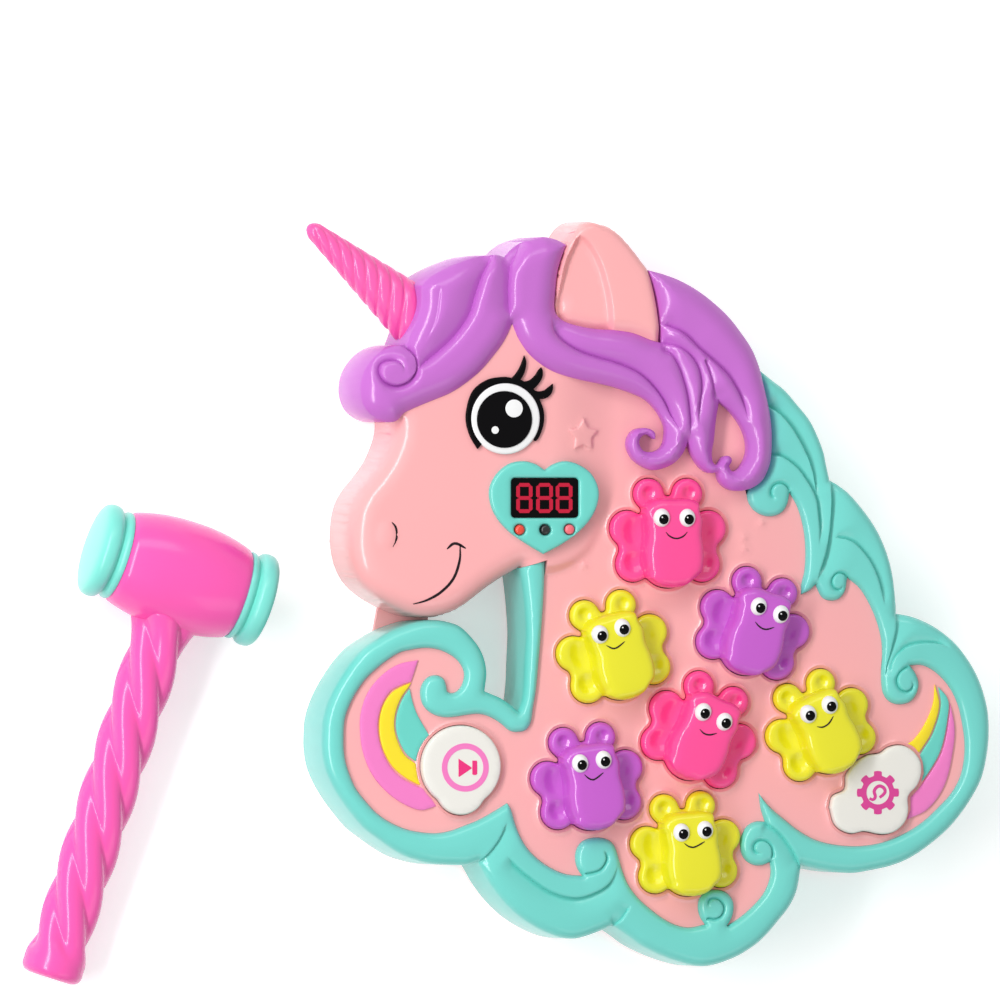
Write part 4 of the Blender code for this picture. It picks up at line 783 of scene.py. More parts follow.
def hair_back(points, heights):
    """The back of the hair: down to the foot at its free edge, and resting on the head elsewhere."""
    near = np.minimum(reach_to(points, hair_outline)[0], reach_to(points, hair_window)[0]) < shell_wall
    on_pink = inside(points, over_pink)
    on_head = inside(points, head_outline)
    level = np.where(on_head, head_level - hair_seat, deck_level + hair_deck_gap)
    return np.where(near, np.where(on_pink, level, shell_foot), heights - hair_skin)


hair_rows = trimmed(rows_of(hair_lines + curl_lines, lock_aways), hair_outline, hair_window)
hair = moulding("hair_moulding", hair_outline, hair_top, hair_back, hair_step, hair_depths,
                [line for line, *_ in hair_lines + curl_lines], hair_rows, [hair_window])
fit(hair, moulded("hair_purple", hair_purple), "console", "purple_shell", "hair_shell")

# Horn: a hot pink cone with a screw thread of soft ridges, set in the hair over the brow.
horn_axis_level = 0.024
horn_pixels = [(418, 312), (317, 226)]
horn_length = 0.061
horn_base_radius = 0.0138
horn_tip_radius = 0.0035
horn_tongue = 0.004
horn_bands = 9
horn_threads = 6
horn_groove_share = 0.10
horn_tip_start, horn_tip_round = 0.93, 0.97
horn_steps, horn_sides = 240, 64
horn_pink = "F45AA8"


def tube(name, rings, sharp=50):
    """A closed piece through rings of points, with a flat face at each end."""
    sides = len(rings[0])
    verts = [point for ring in rings for point in ring]
    faces = [(k * sides + i, k * sides + (i + 1) % sides, (k + 1) * sides + (i + 1) % sides,
              (k + 1) * sides + i) for k in range(len(rings) - 1) for i in range(sides)]
    faces += [tuple(range(sides))[::-1], tuple(range((len(rings) - 1) * sides, len(rings) * sides))]
    mesh = bpy.data.meshes.new(name)
    mesh.from_pydata(verts, [], faces)
    return piece_of(mesh, name, sharp)


horn_base, horn_tip = [Vector((*point, horn_axis_level)) for point in seen(horn_pixels)]
horn_turn = (horn_tip - horn_base).normalized().to_track_quat("Z", "Y").to_matrix().to_4x4()
horn_rings = []
for i in range(horn_steps + 1):
    share = i / horn_steps
    taper = horn_base_radius + (horn_tip_radius - horn_base_radius) * share
    into_tip = max(0, (share - horn_tip_start) / (1 - horn_tip_start))
    taper *= math.sqrt(1 - into_tip**2 * horn_tip_round)
    ring = []
    for k in range(horn_sides):
        angle = math.tau * k / horn_sides
        ridge = abs(math.sin((math.tau * horn_bands * share - horn_threads * angle) / 2))
        radius = taper * (1 - horn_groove_share * (1 - ridge) ** 2)
        ring.append((radius * math.cos(angle), radius * math.sin(angle),
                     horn_length * share - horn_tongue * (1 - share)))
    horn_rings.append(ring)
horn = tube("horn_twist", horn_rings)
horn.data.transform(Matrix.Translation(horn_base) @ horn_turn)
fit(horn, moulded("horn_pink", horn_pink), "console", "hot_pink_plastic", "horn")

# Face: the eye is three discs in one another, glued on the head, with moulded lashes. The nostril,
# the mouth and its corner are printed lines.
paint_rise = 0.00012
stroke_sink = 0.0006
print_black = "241C20"
eye_pixel, iris_pixel = (502.4, 418.6), (501, 419.5)
glint_pixels = {"glint": (510.3, 408.5), "spark": (491.4, 430.1)}
eye_radius = 0.0161
iris_radius = 0.0128
glint_radius = 0.0040
spark_radius = 0.0017
glue_gap = 0.0003
eye_level = head_level + glue_gap
eye_rise, eye_edge = 0.0020, 0.0012
iris_rise, iris_edge = 0.0007, 0.0005
iris_gap = 0.0001


def round_piece(name, middle, profile, sides=96, stretch=1.0, turn=0.0):
    """A piece turned about an upright axis, its profile given as (radius, z) from the bottom up."""
    rings = []
    for radius, z in profile:
        ring = moved(oval((0, 0), radius, radius * stretch, sides), middle, turn)
        rings.append([(x, y, z) for x, y in ring])
    return tube(name, rings, 40)


def disc(radius, low, high, edge):
    """The profile of a flat disc with a rounded edge."""
    profile = [(radius, low), (radius, high - edge)]
    for i in range(1, 5):
        angle = math.pi / 2 * i / 4
        profile.append((radius - edge * (1 - math.cos(angle)), high - edge + edge * math.sin(angle)))
    return profile


gloss_black = moulded("gloss_black", "060507", 0.16, coat=0.0, sheen=0.06)
print_ink = moulded("print_black", print_black, 0.35, coat=0.0, sheen=0.1)
eye_whites = moulded("eye_white", "EFEFEF", 0.2)
eye_middle, iris_middle = seen([eye_pixel, iris_pixel])
eye_top = eye_level + eye_rise
iris_top = eye_top + iris_rise
fit(round_piece("eye_disc", eye_middle, disc(eye_radius, eye_level, eye_top, eye_edge)),
    eye_whites, "console", "off_white", "eye_white")
fit(round_piece("iris_disc", iris_middle, disc(iris_radius, eye_top + iris_gap, iris_top, iris_edge)),
    gloss_black, "console", "black_plastic", "eye_iris")
for name, radius in (("glint", glint_radius), ("spark", spark_radius)):
    spot = round_piece(f"eye_{name}", seen([glint_pixels[name]])[0],
                       disc(radius, iris_top, iris_top + paint_rise, paint_rise / 2))
    fit(spot, eye_whites, "console", "off_white")

lash_rise = 0.0015
lash_edge = 0.0005
lash_sink = 0.001
lash_under_eye = 0.0009
lash_step, lash_net, lash_depths = 0.0004, 0.0008, (0.0003, 0.0006)
lash_arc_steps = 80
lash_pixels = [
    [(478, 449), (471, 437), (467, 424), (466.9, 411), (473.2, 391.3), (487.3, 380), (504.1, 376.8)],
    [(512.5, 378), (516.7, 373.1), (520.9, 366)],
    [(524.7, 355.6), (526.5, 360.4), (526.6, 365), (525.4, 371), (523.3, 376)],
    [(521, 379.6)],
    [(524.6, 381.6), (530.1, 380.1), (535.7, 375.2), (538.8, 370.3)],
    [(541.8, 367.3), (543.2, 371.5), (542.7, 377.3), (540, 382.4), (536.6, 386.6)],
    [(533.8, 389)],
    [(535.4, 390.6), (539.2, 391.3), (544.8, 390.2), (549, 387.1)],
    [(553.2, 383.8), (553.4, 388.5), (551.8, 393.4), (548.3, 397.2), (544.1, 398.8)],
    [(539.9, 399), (544.1, 410.9), (544.1, 423.6), (539.5, 437)],
]
lash_end_pixel = (535.5, 442)
lash_level = eye_level + lash_rise
lash_line = drawn(lash_pixels, lash_step, lash_end_pixel, lash_level)
under_eye = eye_radius - lash_under_eye
start, end = (math.atan2(y - eye_middle[1], x - eye_middle[0]) for x, y in (lash_line[-1], lash_line[0]))
sweep = (end - start) % math.tau
lash_arc = [(eye_middle[0] + under_eye * math.cos(start + sweep * i / lash_arc_steps),
             eye_middle[1] + under_eye * math.sin(start + sweep * i / lash_arc_steps))
            for i in range(lash_arc_steps + 1)]
lash_outline = lash_line + lash_arc
lashes = moulding("lashes", lash_outline,
                  lambda p: lash_level - fillet(reach_to(p, lash_outline)[0], lash_edge),
                  lambda p, z: np.full(len(p), head_level - lash_sink), lash_net, lash_depths)
fit(lashes, gloss_black, "console", "black_plastic", "eyelashes")


def stroke(name, line, width, top, rise=paint_rise, tips=0.35):
    """A printed line on a face, narrower towards its ends."""
    line = evenly(smooth(line), width / 2)
    count = len(line)
    sides = []
    for side in (-1, 1):
        edge = []
        for i, point in enumerate(line):
            share = min(i, count - 1 - i) / (count - 1) * 2
            half = width / 2 * (tips + (1 - tips) * math.sin(math.pi / 2 * min(1, share * 1.6)))
            edge.append(beside(line, side * half)[i])
        sides.append(edge)
    outline = sides[0] + sides[1][::-1]
    return moulding(name, outline, lambda p: top(p) + rise, lambda p, z: z - stroke_sink, width)


mouth_lines = {
    "nostril_line": ([(389.6, 522), (393.5, 527), (394.6, 535), (393.5, 542), (390.9, 547)], 0.0010),
    "smile_line": ([(458, 544.4), (457.5, 560), (451.3, 578.4), (438.7, 592.1), (424, 600.5), (412.3, 604)],
                   0.0012),
    "cheek_line": ([(444.8, 549), (452.5, 543.4), (463.8, 548.3)], 0.0012),
}
for name, (line, width) in mouth_lines.items():
    fit(stroke(name, seen(line), width, pink_top), print_ink, "console", "black_plastic")

# Display: an aqua heart holds a smoked window over a three-digit module, and three lamps below it.
heart_pixels = [
    [(542, 470), (533, 464), (520, 461), (506, 464), (494, 474), (487, 488), (488, 504), (495, 519),
     (508, 533), (524, 544)],
    [(541, 554), (558, 545), (575, 533), (588, 519), (595, 504), (596, 489), (589, 474), (577, 465),
     (563, 461), (551, 464)],
]
heart_rise = 0.0026
heart_round, heart_step = 0.0018, 0.0015
window_pixels = (508.6, 478.2), (575.2, 517.5)
digit_pixels = [(513.3, 529.6), (533.2, 550), (552.8, 569.6)]
digit_top_pixel, digit_bottom_pixel = 483, 513
led_pixels = [(516.6, 529.7), (542, 529.7), (566.4, 529.4)]
led_radius = 0.0022
led_wall = 0.002
led_rise = 0.0006
led_gap = 0.0002
bar_width = 0.0017
bar_gap = 0.0003
bar_share = 0.78
bar_sink, bar_rise = 0.0003, 0.0001
heart_sink = 0.0005
heart_depths = (0.0003, 0.0008, 0.0014, 0.0019)
window_sink = 0.0012
window_corner = 0.0016
window_gap = 0.0001
window_step = 0.004
crown_share = 0.02


def rounded(low, high, corner, steps=6):
    """A rectangle with rounded corners, between two corners."""
    outline = []
    middle = (low[0] + high[0]) / 2, (low[1] + high[1]) / 2
    half = abs(high[0] - low[0]) / 2 - corner, abs(high[1] - low[1]) / 2 - corner
    for quarter, (side_x, side_y) in enumerate(((1, 1), (-1, 1), (-1, -1), (1, -1))):
        for i in range(steps + 1):
            angle = math.pi / 2 * (quarter + i / steps)
            outline.append((middle[0] + side_x * half[0] + corner * math.cos(angle),
                            middle[1] + side_y * half[1] + corner * math.sin(angle)))
    return outline


def plate(name, outline, low, high, edge=0.0, step=0.002, depths=None, holes=()):
    """A flat plate with a rounded upper edge."""
    depths = (edge * 0.25, edge * 0.6, edge) if depths is None and edge else depths or ()
    loops = [outline, *holes]

    def face(points):
        away = np.min([reach_to(points, loop)[0] for loop in loops], axis=0)
        return high - fillet(away, edge) if edge else np.full(len(points), high)
    return moulding(name, outline, face, lambda p, z: np.full(len(p), low), step, depths, holes=holes)


window_low, window_high = seen(window_pixels)
window_plan = reeled(rounded(window_low, window_high, window_corner), plan_step)
led_middles = seen(led_pixels)
heart_plan = drawn(heart_pixels, plan_step, heart_pixels[0][0])[:-1]
led_room = led_radius + led_gap
led_holes = [oval(middle, led_room, led_room, 32) for middle in led_middles]
heart_top = head_level + heart_rise
heart = plate("heart", heart_plan, deck_level - heart_sink, heart_top, heart_round, heart_step,
              heart_depths, [offset(window_plan, window_gap)] + led_holes)
fit(heart, moulded("heart_aqua", "6AD1C5"), "console", "aqua_shell", "heart_bezel")
glass_top = heart_top - window_sink
glass = plate("window", window_plan, head_level - glue_gap, glass_top, step=window_step)
smoked_window = moulded("smoked_window", "060506", 0.12, coat=0.0, sheen=0.06)
fit(glass, smoked_window, "console", "smoked_window", "display_window")
digit_red = moulded("digit_red", "B9203A", 0.4, glow=0.12, coat=0.0, sheen=0.1)
for number, (left, right) in enumerate(digit_pixels, 1):
    (x0, y1), (x1, y0) = seen([(left, digit_top_pixel), (right, digit_bottom_pixel)])
    x0, x1, y0, y1 = x0 + bar_width / 2, x1 - bar_width / 2, y0 + bar_width / 2, y1 - bar_width / 2
    ym = (y0 + y1) / 2
    bars = [((x0, y1), (x1, y1)), ((x0, ym), (x1, ym)), ((x0, y0), (x1, y0)), ((x0, y0), (x0, ym)),
            ((x0, ym), (x0, y1)), ((x1, y0), (x1, ym)), ((x1, ym), (x1, y1))]
    mesh = bmesh.new()
    for start, end in bars:
        way = Vector(end) - Vector(start)
        reach, way = way.length - bar_gap, way.normalized()
        out = Vector((way.y, -way.x)) * bar_width / 2
        middle = (Vector(start) + Vector(end)) / 2
        shape = [middle + way * reach * a / 2 + out * b for a, b in
                 ((-1, 0), (-bar_share, 1), (bar_share, 1), (1, 0), (bar_share, -1), (-bar_share, -1))]
        foot = [mesh.verts.new((*p, glass_top - bar_sink)) for p in shape]
        face = [mesh.verts.new((*p, glass_top + bar_rise)) for p in shape]
        mesh.faces.new(foot[::-1])
        mesh.faces.new(face)
        for i in range(6):
            mesh.faces.new((foot[i], foot[(i + 1) % 6], face[(i + 1) % 6], face[i]))
    bmesh.ops.recalc_face_normals(mesh, faces=mesh.faces)
    digit = bpy.data.meshes.new(f"digit_{number}")
    mesh.to_mesh(digit)
    mesh.free()
    fit(piece_of(digit, f"digit_{number}"), digit_red, "console", "lens_red")
led_colours = ("E8452F", "0E0D0E", "F26D78")
led_profile = [(led_radius, head_level)]
for i in range(7):
    angle = math.pi / 2 * i / 6
    dome_rise = (heart_top + led_rise - head_level - led_wall) * math.sin(angle)
    led_profile.append((led_radius * max(math.cos(angle), crown_share), head_level + led_wall + dome_rise))
for number, (middle, colour) in enumerate(zip(led_middles, led_colours), 1):
    lamp = round_piece(f"lamp_{number}", middle, led_profile, 32)
    fit(lamp, moulded(f"lamp_{number}", colour, 0.2), "console", "lens_red", f"led_{number}")

# Rainbows: bands of pink, yellow and aqua plastic, laid in the deck beside the two buttons and cut
# off at the buttons' holes.
band_rise = 0.0011
band_round = 0.0006
band_sink, band_step = 0.0005, 0.0016
band_pixels = {
    "rainbow_left_pink": [
        [(419, 660), (400, 664), (383, 675), (369, 692), (362, 712), (361, 730), (364, 752), (373, 774),
         (388, 792), (405, 804), (422, 810)],
        [(437, 806)], [(433, 799.5), (428, 794)],
        [(423.5, 788), (418, 786), (403, 778), (391, 766), (382, 747), (378.6, 727), (382, 707),
         (391, 691.4), (402, 685)],
        [(412, 681.5)],
    ],
    "rainbow_left_yellow": [
        [(412, 682.5), (403, 686), (392, 693), (383, 708), (380, 727), (383, 746.5), (392.2, 764.8),
         (404, 776), (418, 784.2)],
        [(421.5, 785)], [(418.6, 778), (416.9, 768)],
        [(416.4, 763.5), (406, 755.2), (399, 742.3), (395.2, 727), (396.7, 711.5), (402.4, 697)],
        [(409.6, 687)],
    ],
    "rainbow_left_aqua": [
        [(410.6, 688.5), (403.8, 698), (398.3, 712), (396.8, 727), (400.3, 741.2), (407.5, 754)],
        [(416.8, 761.5), (418, 755)], [(420.5, 748), (425, 740.5)],
        [(430, 735), (424, 725), (417, 712), (413, 700)],
    ],
    "rainbow_right_yellow": [
        [(937, 685), (934.7, 705.7), (925.5, 727), (915, 741)],
        [(909, 744.5), (916, 748)], [(920.5, 753.5)],
        [(922.2, 752), (933.6, 733), (941.4, 706)],
    ],
    "rainbow_right_aqua": [
        [(940.4, 687.5), (943, 706), (935.2, 733.8), (923.2, 753.6)],
        [(921.6, 756), (924.5, 763)], [(925.5, 774), (921.5, 787)],
        [(917.5, 790.6), (931.2, 772.5), (943.3, 749.8), (950.8, 711.8), (949.6, 698.5)],
    ],
    "rainbow_right_pink": [
        [(952.3, 704), (952.2, 712), (944.7, 750.5), (932.3, 773.7), (918, 792)],
        [(912, 798)], [(912.3, 811)],
        [(909, 820.5), (930.1, 809.8), (947, 785.3), (955.4, 750), (956.8, 727.1)],
    ],
}
band_colours = {"pink": "F07CC3", "yellow": "F5DC1E", "aqua": "66CFC2"}
band_slots = {"pink": "bug_pink", "yellow": "bug_yellow", "aqua": "aqua_shell"}
band_plastics = {colour: moulded(f"band_{colour}", code) for colour, code in band_colours.items()}
for name, stretches in band_pixels.items():
    plan = drawn(stretches, plan_step, stretches[0][0])[:-1]
    node, colour = name.rsplit("_", 1)
    band = plate(name, plan, deck_level - band_sink, deck_level + band_rise, band_round, band_step)
    fit(band, band_plastics[colour], "console", band_slots[colour], node)

# Bug caps: each is one hollow moulding, a lobed plate with thick rims round its dished feelers and
# wings, and a high rounded body that leans a little. It drops into its hole when it is struck.
cap_level = 0.042
cap_low = 0.0336
cap_round = 0.0024
cap_wall = 0.0020
dish_depth = 0.0022
dish_shares = [(0.585, 0.065, 0.20, 0.27), (0.60, -0.44, 0.17, 0.17), (0.345, 0.71, 0.11, 0.11)]
body_lean = 0.17
lean_reach = 0.003
body_level = 0.0520
body_round = 0.0043
body_wall, body_foot_gap = 0.0004, 0.00005
body_crown, body_crown_reach = 0.0007, 0.012
body_depth_shares = (0.13, 0.28, 0.48, 0.75, 1.0)
dish_ring_shares = (0.3, 0.6, 0.9, 1.2)
dish_start, dish_slope = 0.75, 0.6
full_dish = 0.004
cap_step, body_step = 0.0012, 0.0006
cap_depths = (0.0003, 0.0008, 0.0016, 0.0026)
body_shares = [(0, 0.620), (0.31, 0.605), (0.46, 0.49), (0.485, 0.24), (0.465, 0.02), (0.50, -0.25),
               (0.47, -0.58), (0.29, -0.82), (0, -0.88)]
half_body = smooth([(x * bug_reach, y * bug_reach) for x, y in body_shares], pieces=8)
whole_body = half_body + [(-x, y) for x, y in half_body[-2:0:-1]]
body_plan = softened(reeled(whole_body, body_step), rounds=2)
bug_dishes = [(side * x * bug_reach, y * bug_reach, half_width * bug_reach, half_length * bug_reach)
              for side in (-1, 1) for x, y, half_width, half_length in dish_shares]


def cap_face(points):
    """The face of a bug cap, at rest on its own origin."""
    z = cap_level - fillet(reach_to(points, bug_plan)[0], cap_round)
    for x, y, half_width, half_length in bug_dishes:
        away = np.hypot((points[:, 0] - x) / half_width, (points[:, 1] - y) / half_length)
        z -= dish_depth * min(1, half_width / full_dish) * step_up(dish_start - away, dish_slope)
    deep = depth_in(points, body_plan)
    crown = body_crown * np.clip(1 - deep / body_crown_reach, 0, 1) ** 2
    return np.where(deep > 0, body_level - fillet(deep, body_round) - crown, z)


def cap_back(points, heights):
    """The underside of a bug cap, hollow inside its walls, with room for the spring."""
    return np.where(reach_to(points, bug_plan)[0] < cap_wall, cap_low, heights - cap_wall)


body_rows = [offset(body_plan, -body_round * share) for share in body_depth_shares]
dish_rows = [oval((x, y), half_width * share, half_length * share, 28)
             for x, y, half_width, half_length in bug_dishes for share in dish_ring_shares]
body_lines = [offset(body_plan, way) for way in (body_foot_gap, -body_wall / 2)]
cap = moulding("bug_cap", bug_plan, cap_face, cap_back, cap_step, cap_depths,
               [line + line[:1] for line in body_lines], trimmed(body_rows + dish_rows, bug_plan))
cap_mesh = cap.data
from_wall = reach_to([vertex.co.xy for vertex in cap_mesh.vertices], bug_plan)[0]
lean_shares = body_lean * np.clip(from_wall / lean_reach, 0, 1)
bpy.data.objects.remove(cap)
bug_plastics = {
    "pink": moulded("bug_pink", "FF4896", 0.15),
    "yellow": moulded("bug_yellow", "E8E21C", 0.15),
    "purple": moulded("bug_purple", "C459CA", 0.15),
}


def cap_matrix(where):
    """Sets down what is drawn on a cap's own origin."""
    (x, y), turn, size = where
    return (Matrix.Translation((x, y, 0)) @ Matrix.Rotation(turn, 4, "Z")
            @ Matrix.Diagonal((size, size, 1, 1)))


def on_cap(points, where):
    """Places on the deck as they lie on the cap's own origin."""
    (x, y), turn, size = where
    gone = (np.array(points) - (x, y)) / size
    cos, sin = math.cos(turn), math.sin(turn)
    return np.column_stack([gone[:, 0] * cos + gone[:, 1] * sin, gone[:, 1] * cos - gone[:, 0] * sin])


eye_from_pupil = (-0.9, -1.6)
eye_half_width, eye_half_length = 0.0038, 0.0042
eyeball_sink = 0.0007
eyeball_foot = body_level - eyeball_sink
eyeball_seat = 0.0005
eyeball_top = 0.0543
pupil_radius = 0.0023
pupil_rise = 0.00006
pupil_sink = 0.0004
pupil_step, painted_glint_step = 0.0006, 0.0003
# Painted highlight on the bugs' pupils: its radius, how far up and left of the pupil's middle it sits, and
# how deep it sinks.
painted_glint_radius = 0.00034
painted_glint_offset = 0.0009
painted_glint_sink = 0.0003
pupil_pixels = {
    "pink_bug_1": [(664.3, 519.3), (689.7, 519.5)],
    "yellow_bug_1": [(602.5, 636), (624.7, 629.5)],
    "purple_bug_1": [(761.3, 608.2), (783.5, 616)],
    "pink_bug_2": [(705.7, 713.8), (726.8, 723.5)],
    "yellow_bug_2": [(811.2, 716), (832.5, 706.9)],
    "purple_bug_2": [(582.6, 765), (605.9, 761.5)],
    "yellow_bug_3": [(684, 834.3), (707.5, 831.8)],
}
smile_pixels = {
    "pink_bug_1": [(666, 532), (669.5, 536), (676, 538.5), (683, 536.5), (687.5, 532)],
    "yellow_bug_1": [(606.5, 645.5), (614.5, 648.5), (625, 641.5)],
    "purple_bug_1": [(755.5, 622), (760, 627), (766, 629.5), (774.5, 627.5)],
    "pink_bug_2": [(700, 729.5), (704, 733.5), (709.5, 735), (717, 733.5)],
    "yellow_bug_2": [(817.5, 727), (823, 727.5), (829, 724), (834, 716.5)],
    "purple_bug_2": [(584.5, 774.5), (589, 778.5), (594, 779.5), (603.5, 772.5)],
    "yellow_bug_3": [(684.5, 843.5), (689, 846.7), (694.5, 847.3), (705, 841.7)],
}
smile_width = 0.0007
smile_shift = (body_lean * (body_level - cap_level), 0)


def eyeball(shares):
    """Heights on an eyeball, from how far out they lie as shares of its half width."""
    return eyeball_foot + (eyeball_top - eyeball_foot) * np.sqrt(1 - np.minimum(shares, 1) ** 2)


eye_profile = [(eye_half_width, eyeball_foot - eyeball_seat)]
for i in range(12):
    share = math.cos(math.pi / 2 * i / 11)
    eye_profile.append((eye_half_width * max(share, crown_share), float(eyeball(share))))
for name, where in bug_spots.items():
    turn = where[1]
    body = bpy.data.objects.new(f"{name}_cap", cap_mesh.copy())
    bpy.context.scene.collection.objects.link(body)
    body.data.transform(cap_matrix(where))
    for vertex, lean in zip(body.data.vertices, lean_shares):
        vertex.co.x += lean * max(0, vertex.co.z - cap_level)
    colour = name.split("_")[0]
    fit(body, bug_plastics[colour], name, f"bug_{colour}", name)
    for side, pupil in zip(("left", "right"), pupil_pixels[name]):
        eye = (pupil[0] + eye_from_pupil[0], pupil[1] + eye_from_pupil[1])
        at, (x, y) = seen([eye, pupil], eyeball_top)
        ball = round_piece(f"{name}_{side}_eyeball", at, eye_profile, 32,
                           eye_half_length / eye_half_width, turn)
        fit(ball, eye_whites, name, "off_white", f"{name}_{side}_eye")

        def on_eyeball(points, rise=pupil_rise):
            """Heights just over this eyeball."""
            gone = on_cap(points, (at, turn, 1)) / (eye_half_width, eye_half_length)
            return eyeball(np.minimum(np.hypot(*gone.T), 0.99)) + rise
        pupil_piece = moulding(f"{name}_{side}_pupil", oval((x, y), pupil_radius, pupil_radius, 24),
                               on_eyeball, lambda p, z: z - pupil_sink, pupil_step)
        fit(pupil_piece, gloss_black, name, "black_plastic")
        # Painted highlight: a small white disc on each pupil, set up and to the left toward the key light,
        # the same way on every bug however the bug is turned.
        glint = oval((x - painted_glint_offset, y + painted_glint_offset), painted_glint_radius, painted_glint_radius, 12)
        painted_glint_piece = moulding(f"{name}_{side}_glint", glint, lambda p: on_eyeball(p, 2 * pupil_rise),
                               lambda p, z: z - painted_glint_sink, painted_glint_step)
        fit(painted_glint_piece, eye_whites, name, "off_white")
    smile = stroke(f"{name}_smile", seen(smile_pixels[name], body_level), smile_width,
                   lambda p: cap_face(on_cap(p - smile_shift, where)))
    fit(smile, print_ink, name, "black_plastic")

# Buttons: two flat caps of milky plastic, level with the bugs' plates. The play symbol in its ring
# and the wheel with a note in it are printed on them.
button_low = 0.0336
button_round = 0.0014
print_level = 0.042
print_sink, print_rise = 0.0003, 0.0001
note_width = 0.0015
print_step, wheel_step = 0.001, 0.0008
wheel_tooth_shares = (-0.30, -0.24, 0, 0.24, 0.30, 0.5)
ring_pixel, ring_outer_pixels, ring_inner_pixels = (465.3, 767.4), 24.2, 18.5
triangle_pixels = [(458.5, 758.5), (458.5, 777.3), (472.3, 767.9)]
bar_pixels = [(472.3, 760.5), (477.2, 760.5), (477.2, 774.9), (472.3, 774.9)]
wheel_pixel, wheel_teeth = (878.8, 793.4), 8
wheel_tip_pixels, wheel_root_pixels, wheel_hole_pixels = 21.7, 17.2, 11.8
wheel_tip_swell = 1.01
note_pixels = [(870.5, 798.9), (873.6, 800.5), (876.2, 797.7), (875.1, 791.6), (879.7, 786.8),
               (885, 788.9), (886, 792.6), (883.5, 796), (880.4, 798.2)]
button_white = moulded("button_white", "E9E7E0", 0.3)
icon_pink = moulded("icon_pink", "E8287A", 0.35)
ring_pink = moulded("ring_pink", "F07ABF", 0.35)
wheel_pink = moulded("wheel_pink", "D63E92", 0.35)
button_caps = [("play_cap", play_plan, "play_button"), ("cloud_cap", cloud_plan, "settings_button")]
for name, plan, body in button_caps:
    cap = plate(name, plan, button_low, print_level, button_round)
    fit(cap, button_white, body, "off_white", body)


def printed(name, outline, ink_plastic, body, holes=()):
    """A flat print on a button."""
    mark = plate(name, outline, print_level - print_sink, print_level + print_rise, 0.0, 0.003, (), holes)
    return fit(mark, ink_plastic, body, "hot_pink_plastic")


def round_outline(middle, radius_pixels, sides=72):
    """A circle, its radius given in pixels."""
    return oval(middle, radius_pixels * pixel, radius_pixels * pixel, sides)


ring_middle, wheel_middle = seen([ring_pixel, wheel_pixel], print_level)
printed("play_ring", round_outline(ring_middle, ring_outer_pixels), ring_pink, "play_button",
        [round_outline(ring_middle, ring_inner_pixels)])
printed("play_arrow", reeled(seen(triangle_pixels, print_level), print_step), icon_pink, "play_button")
printed("play_bar", reeled(seen(bar_pixels, print_level), print_step), icon_pink, "play_button")
tooth_reaches = (wheel_root_pixels, wheel_tip_pixels, wheel_tip_pixels * wheel_tip_swell,
                 wheel_tip_pixels, wheel_root_pixels, wheel_root_pixels)
wheel_outline = []
for i in range(wheel_teeth):
    for share, reach in zip(wheel_tooth_shares, tooth_reaches):
        angle = math.tau * (i + share) / wheel_teeth
        wheel_outline.append((wheel_middle[0] + reach * pixel * math.cos(angle),
                              wheel_middle[1] + reach * pixel * math.sin(angle)))
printed("settings_wheel", reeled(wheel_outline, wheel_step), wheel_pink, "settings_button",
        [round_outline(wheel_middle, wheel_hole_pixels, 48)])
note = stroke("settings_note", seen(note_pixels, print_level), note_width,
              lambda p: np.full(len(p), print_level), rise=print_rise, tips=0.8)
fit(note, wheel_pink, "settings_button", "hot_pink_plastic")

# Mallet: a bulged barrel and a handle of four twisted strands, moulded together in two halves of hot
# pink plastic, with a soft aqua striker on each end. It lies on its barrel and its knob.
mallet_pixel, knob_pixel = (187, 575), (68, 965)
mallet_length = 0.190
barrel_radius = 0.0249
barrel_length = 0.058
barrel_taper, barrel_power = 0.19, 2.3
barrel_edge, barrel_end_share = 0.0012, 0.9999
barrel_steps, handle_steps = 32, 240
mallet_sides, handle_sides = 96, 64
barrel_rest, knob_rest = 0.025, 0.014
handle_radius = 0.0115
root_swell, root_start, root_end = 0.0035, 0.020, 0.034
strand_share, strand_level = 0.13, 1.1
strands = 4
strand_pitch = 0.027
handle_root = 0.016125
knob_radius = 0.0139
knob_length = 0.012
knob_slope, knob_lead = 0.005, 0.001
knob_edge = 0.0042
striker_radius = 0.0214
striker_length = 0.0143
striker_sink = 0.0006
seam = 0.00025
seam_turn = 0.012
mallet_spot, knob_spot = seen([mallet_pixel, knob_pixel])
mallet_turn = math.atan2(knob_spot[0] - mallet_spot[0], mallet_spot[1] - knob_spot[1])
mallet_lean = math.asin((barrel_rest - knob_rest) / (mallet_length - knob_length / 2))
mallet_seat = (Matrix.Translation((*mallet_spot, barrel_rest)) @ Matrix.Rotation(mallet_turn, 4, "Z")
               @ Matrix.Rotation(mallet_lean, 4, "X"))


def seamed(count):
    """Angles all round, with the seam of the two halves at 0 and half a turn."""
    around = [math.tau * i / count for i in range(count)]
    for line in (0, math.pi):
        around = [a for a in around if abs(a - line) > seam_turn and abs(a - line - math.tau) > seam_turn]
        around += [line + way * seam_turn for way in (-1, 0, 1)]
    return sorted(a % math.tau for a in around)


def seam_cut(angle):
    """How deep the seam is at this angle."""
    return seam if min(abs(angle), abs(angle - math.pi), abs(angle - math.tau)) < seam_turn / 2 else 0


def spindle(name, profile, angles, cut=False):
    """A piece turned about the barrel's axis, its profile given as (radius, x) from left to right."""
    rings = []
    for radius, x in profile:
        reaches = [radius - cut * seam_cut(angle) for angle in angles]
        rings.append([(x, reach * math.cos(a), reach * math.sin(a)) for a, reach in zip(angles, reaches)])
    piece = tube(name, rings, 40)
    piece.data.transform(mallet_seat)
    return piece


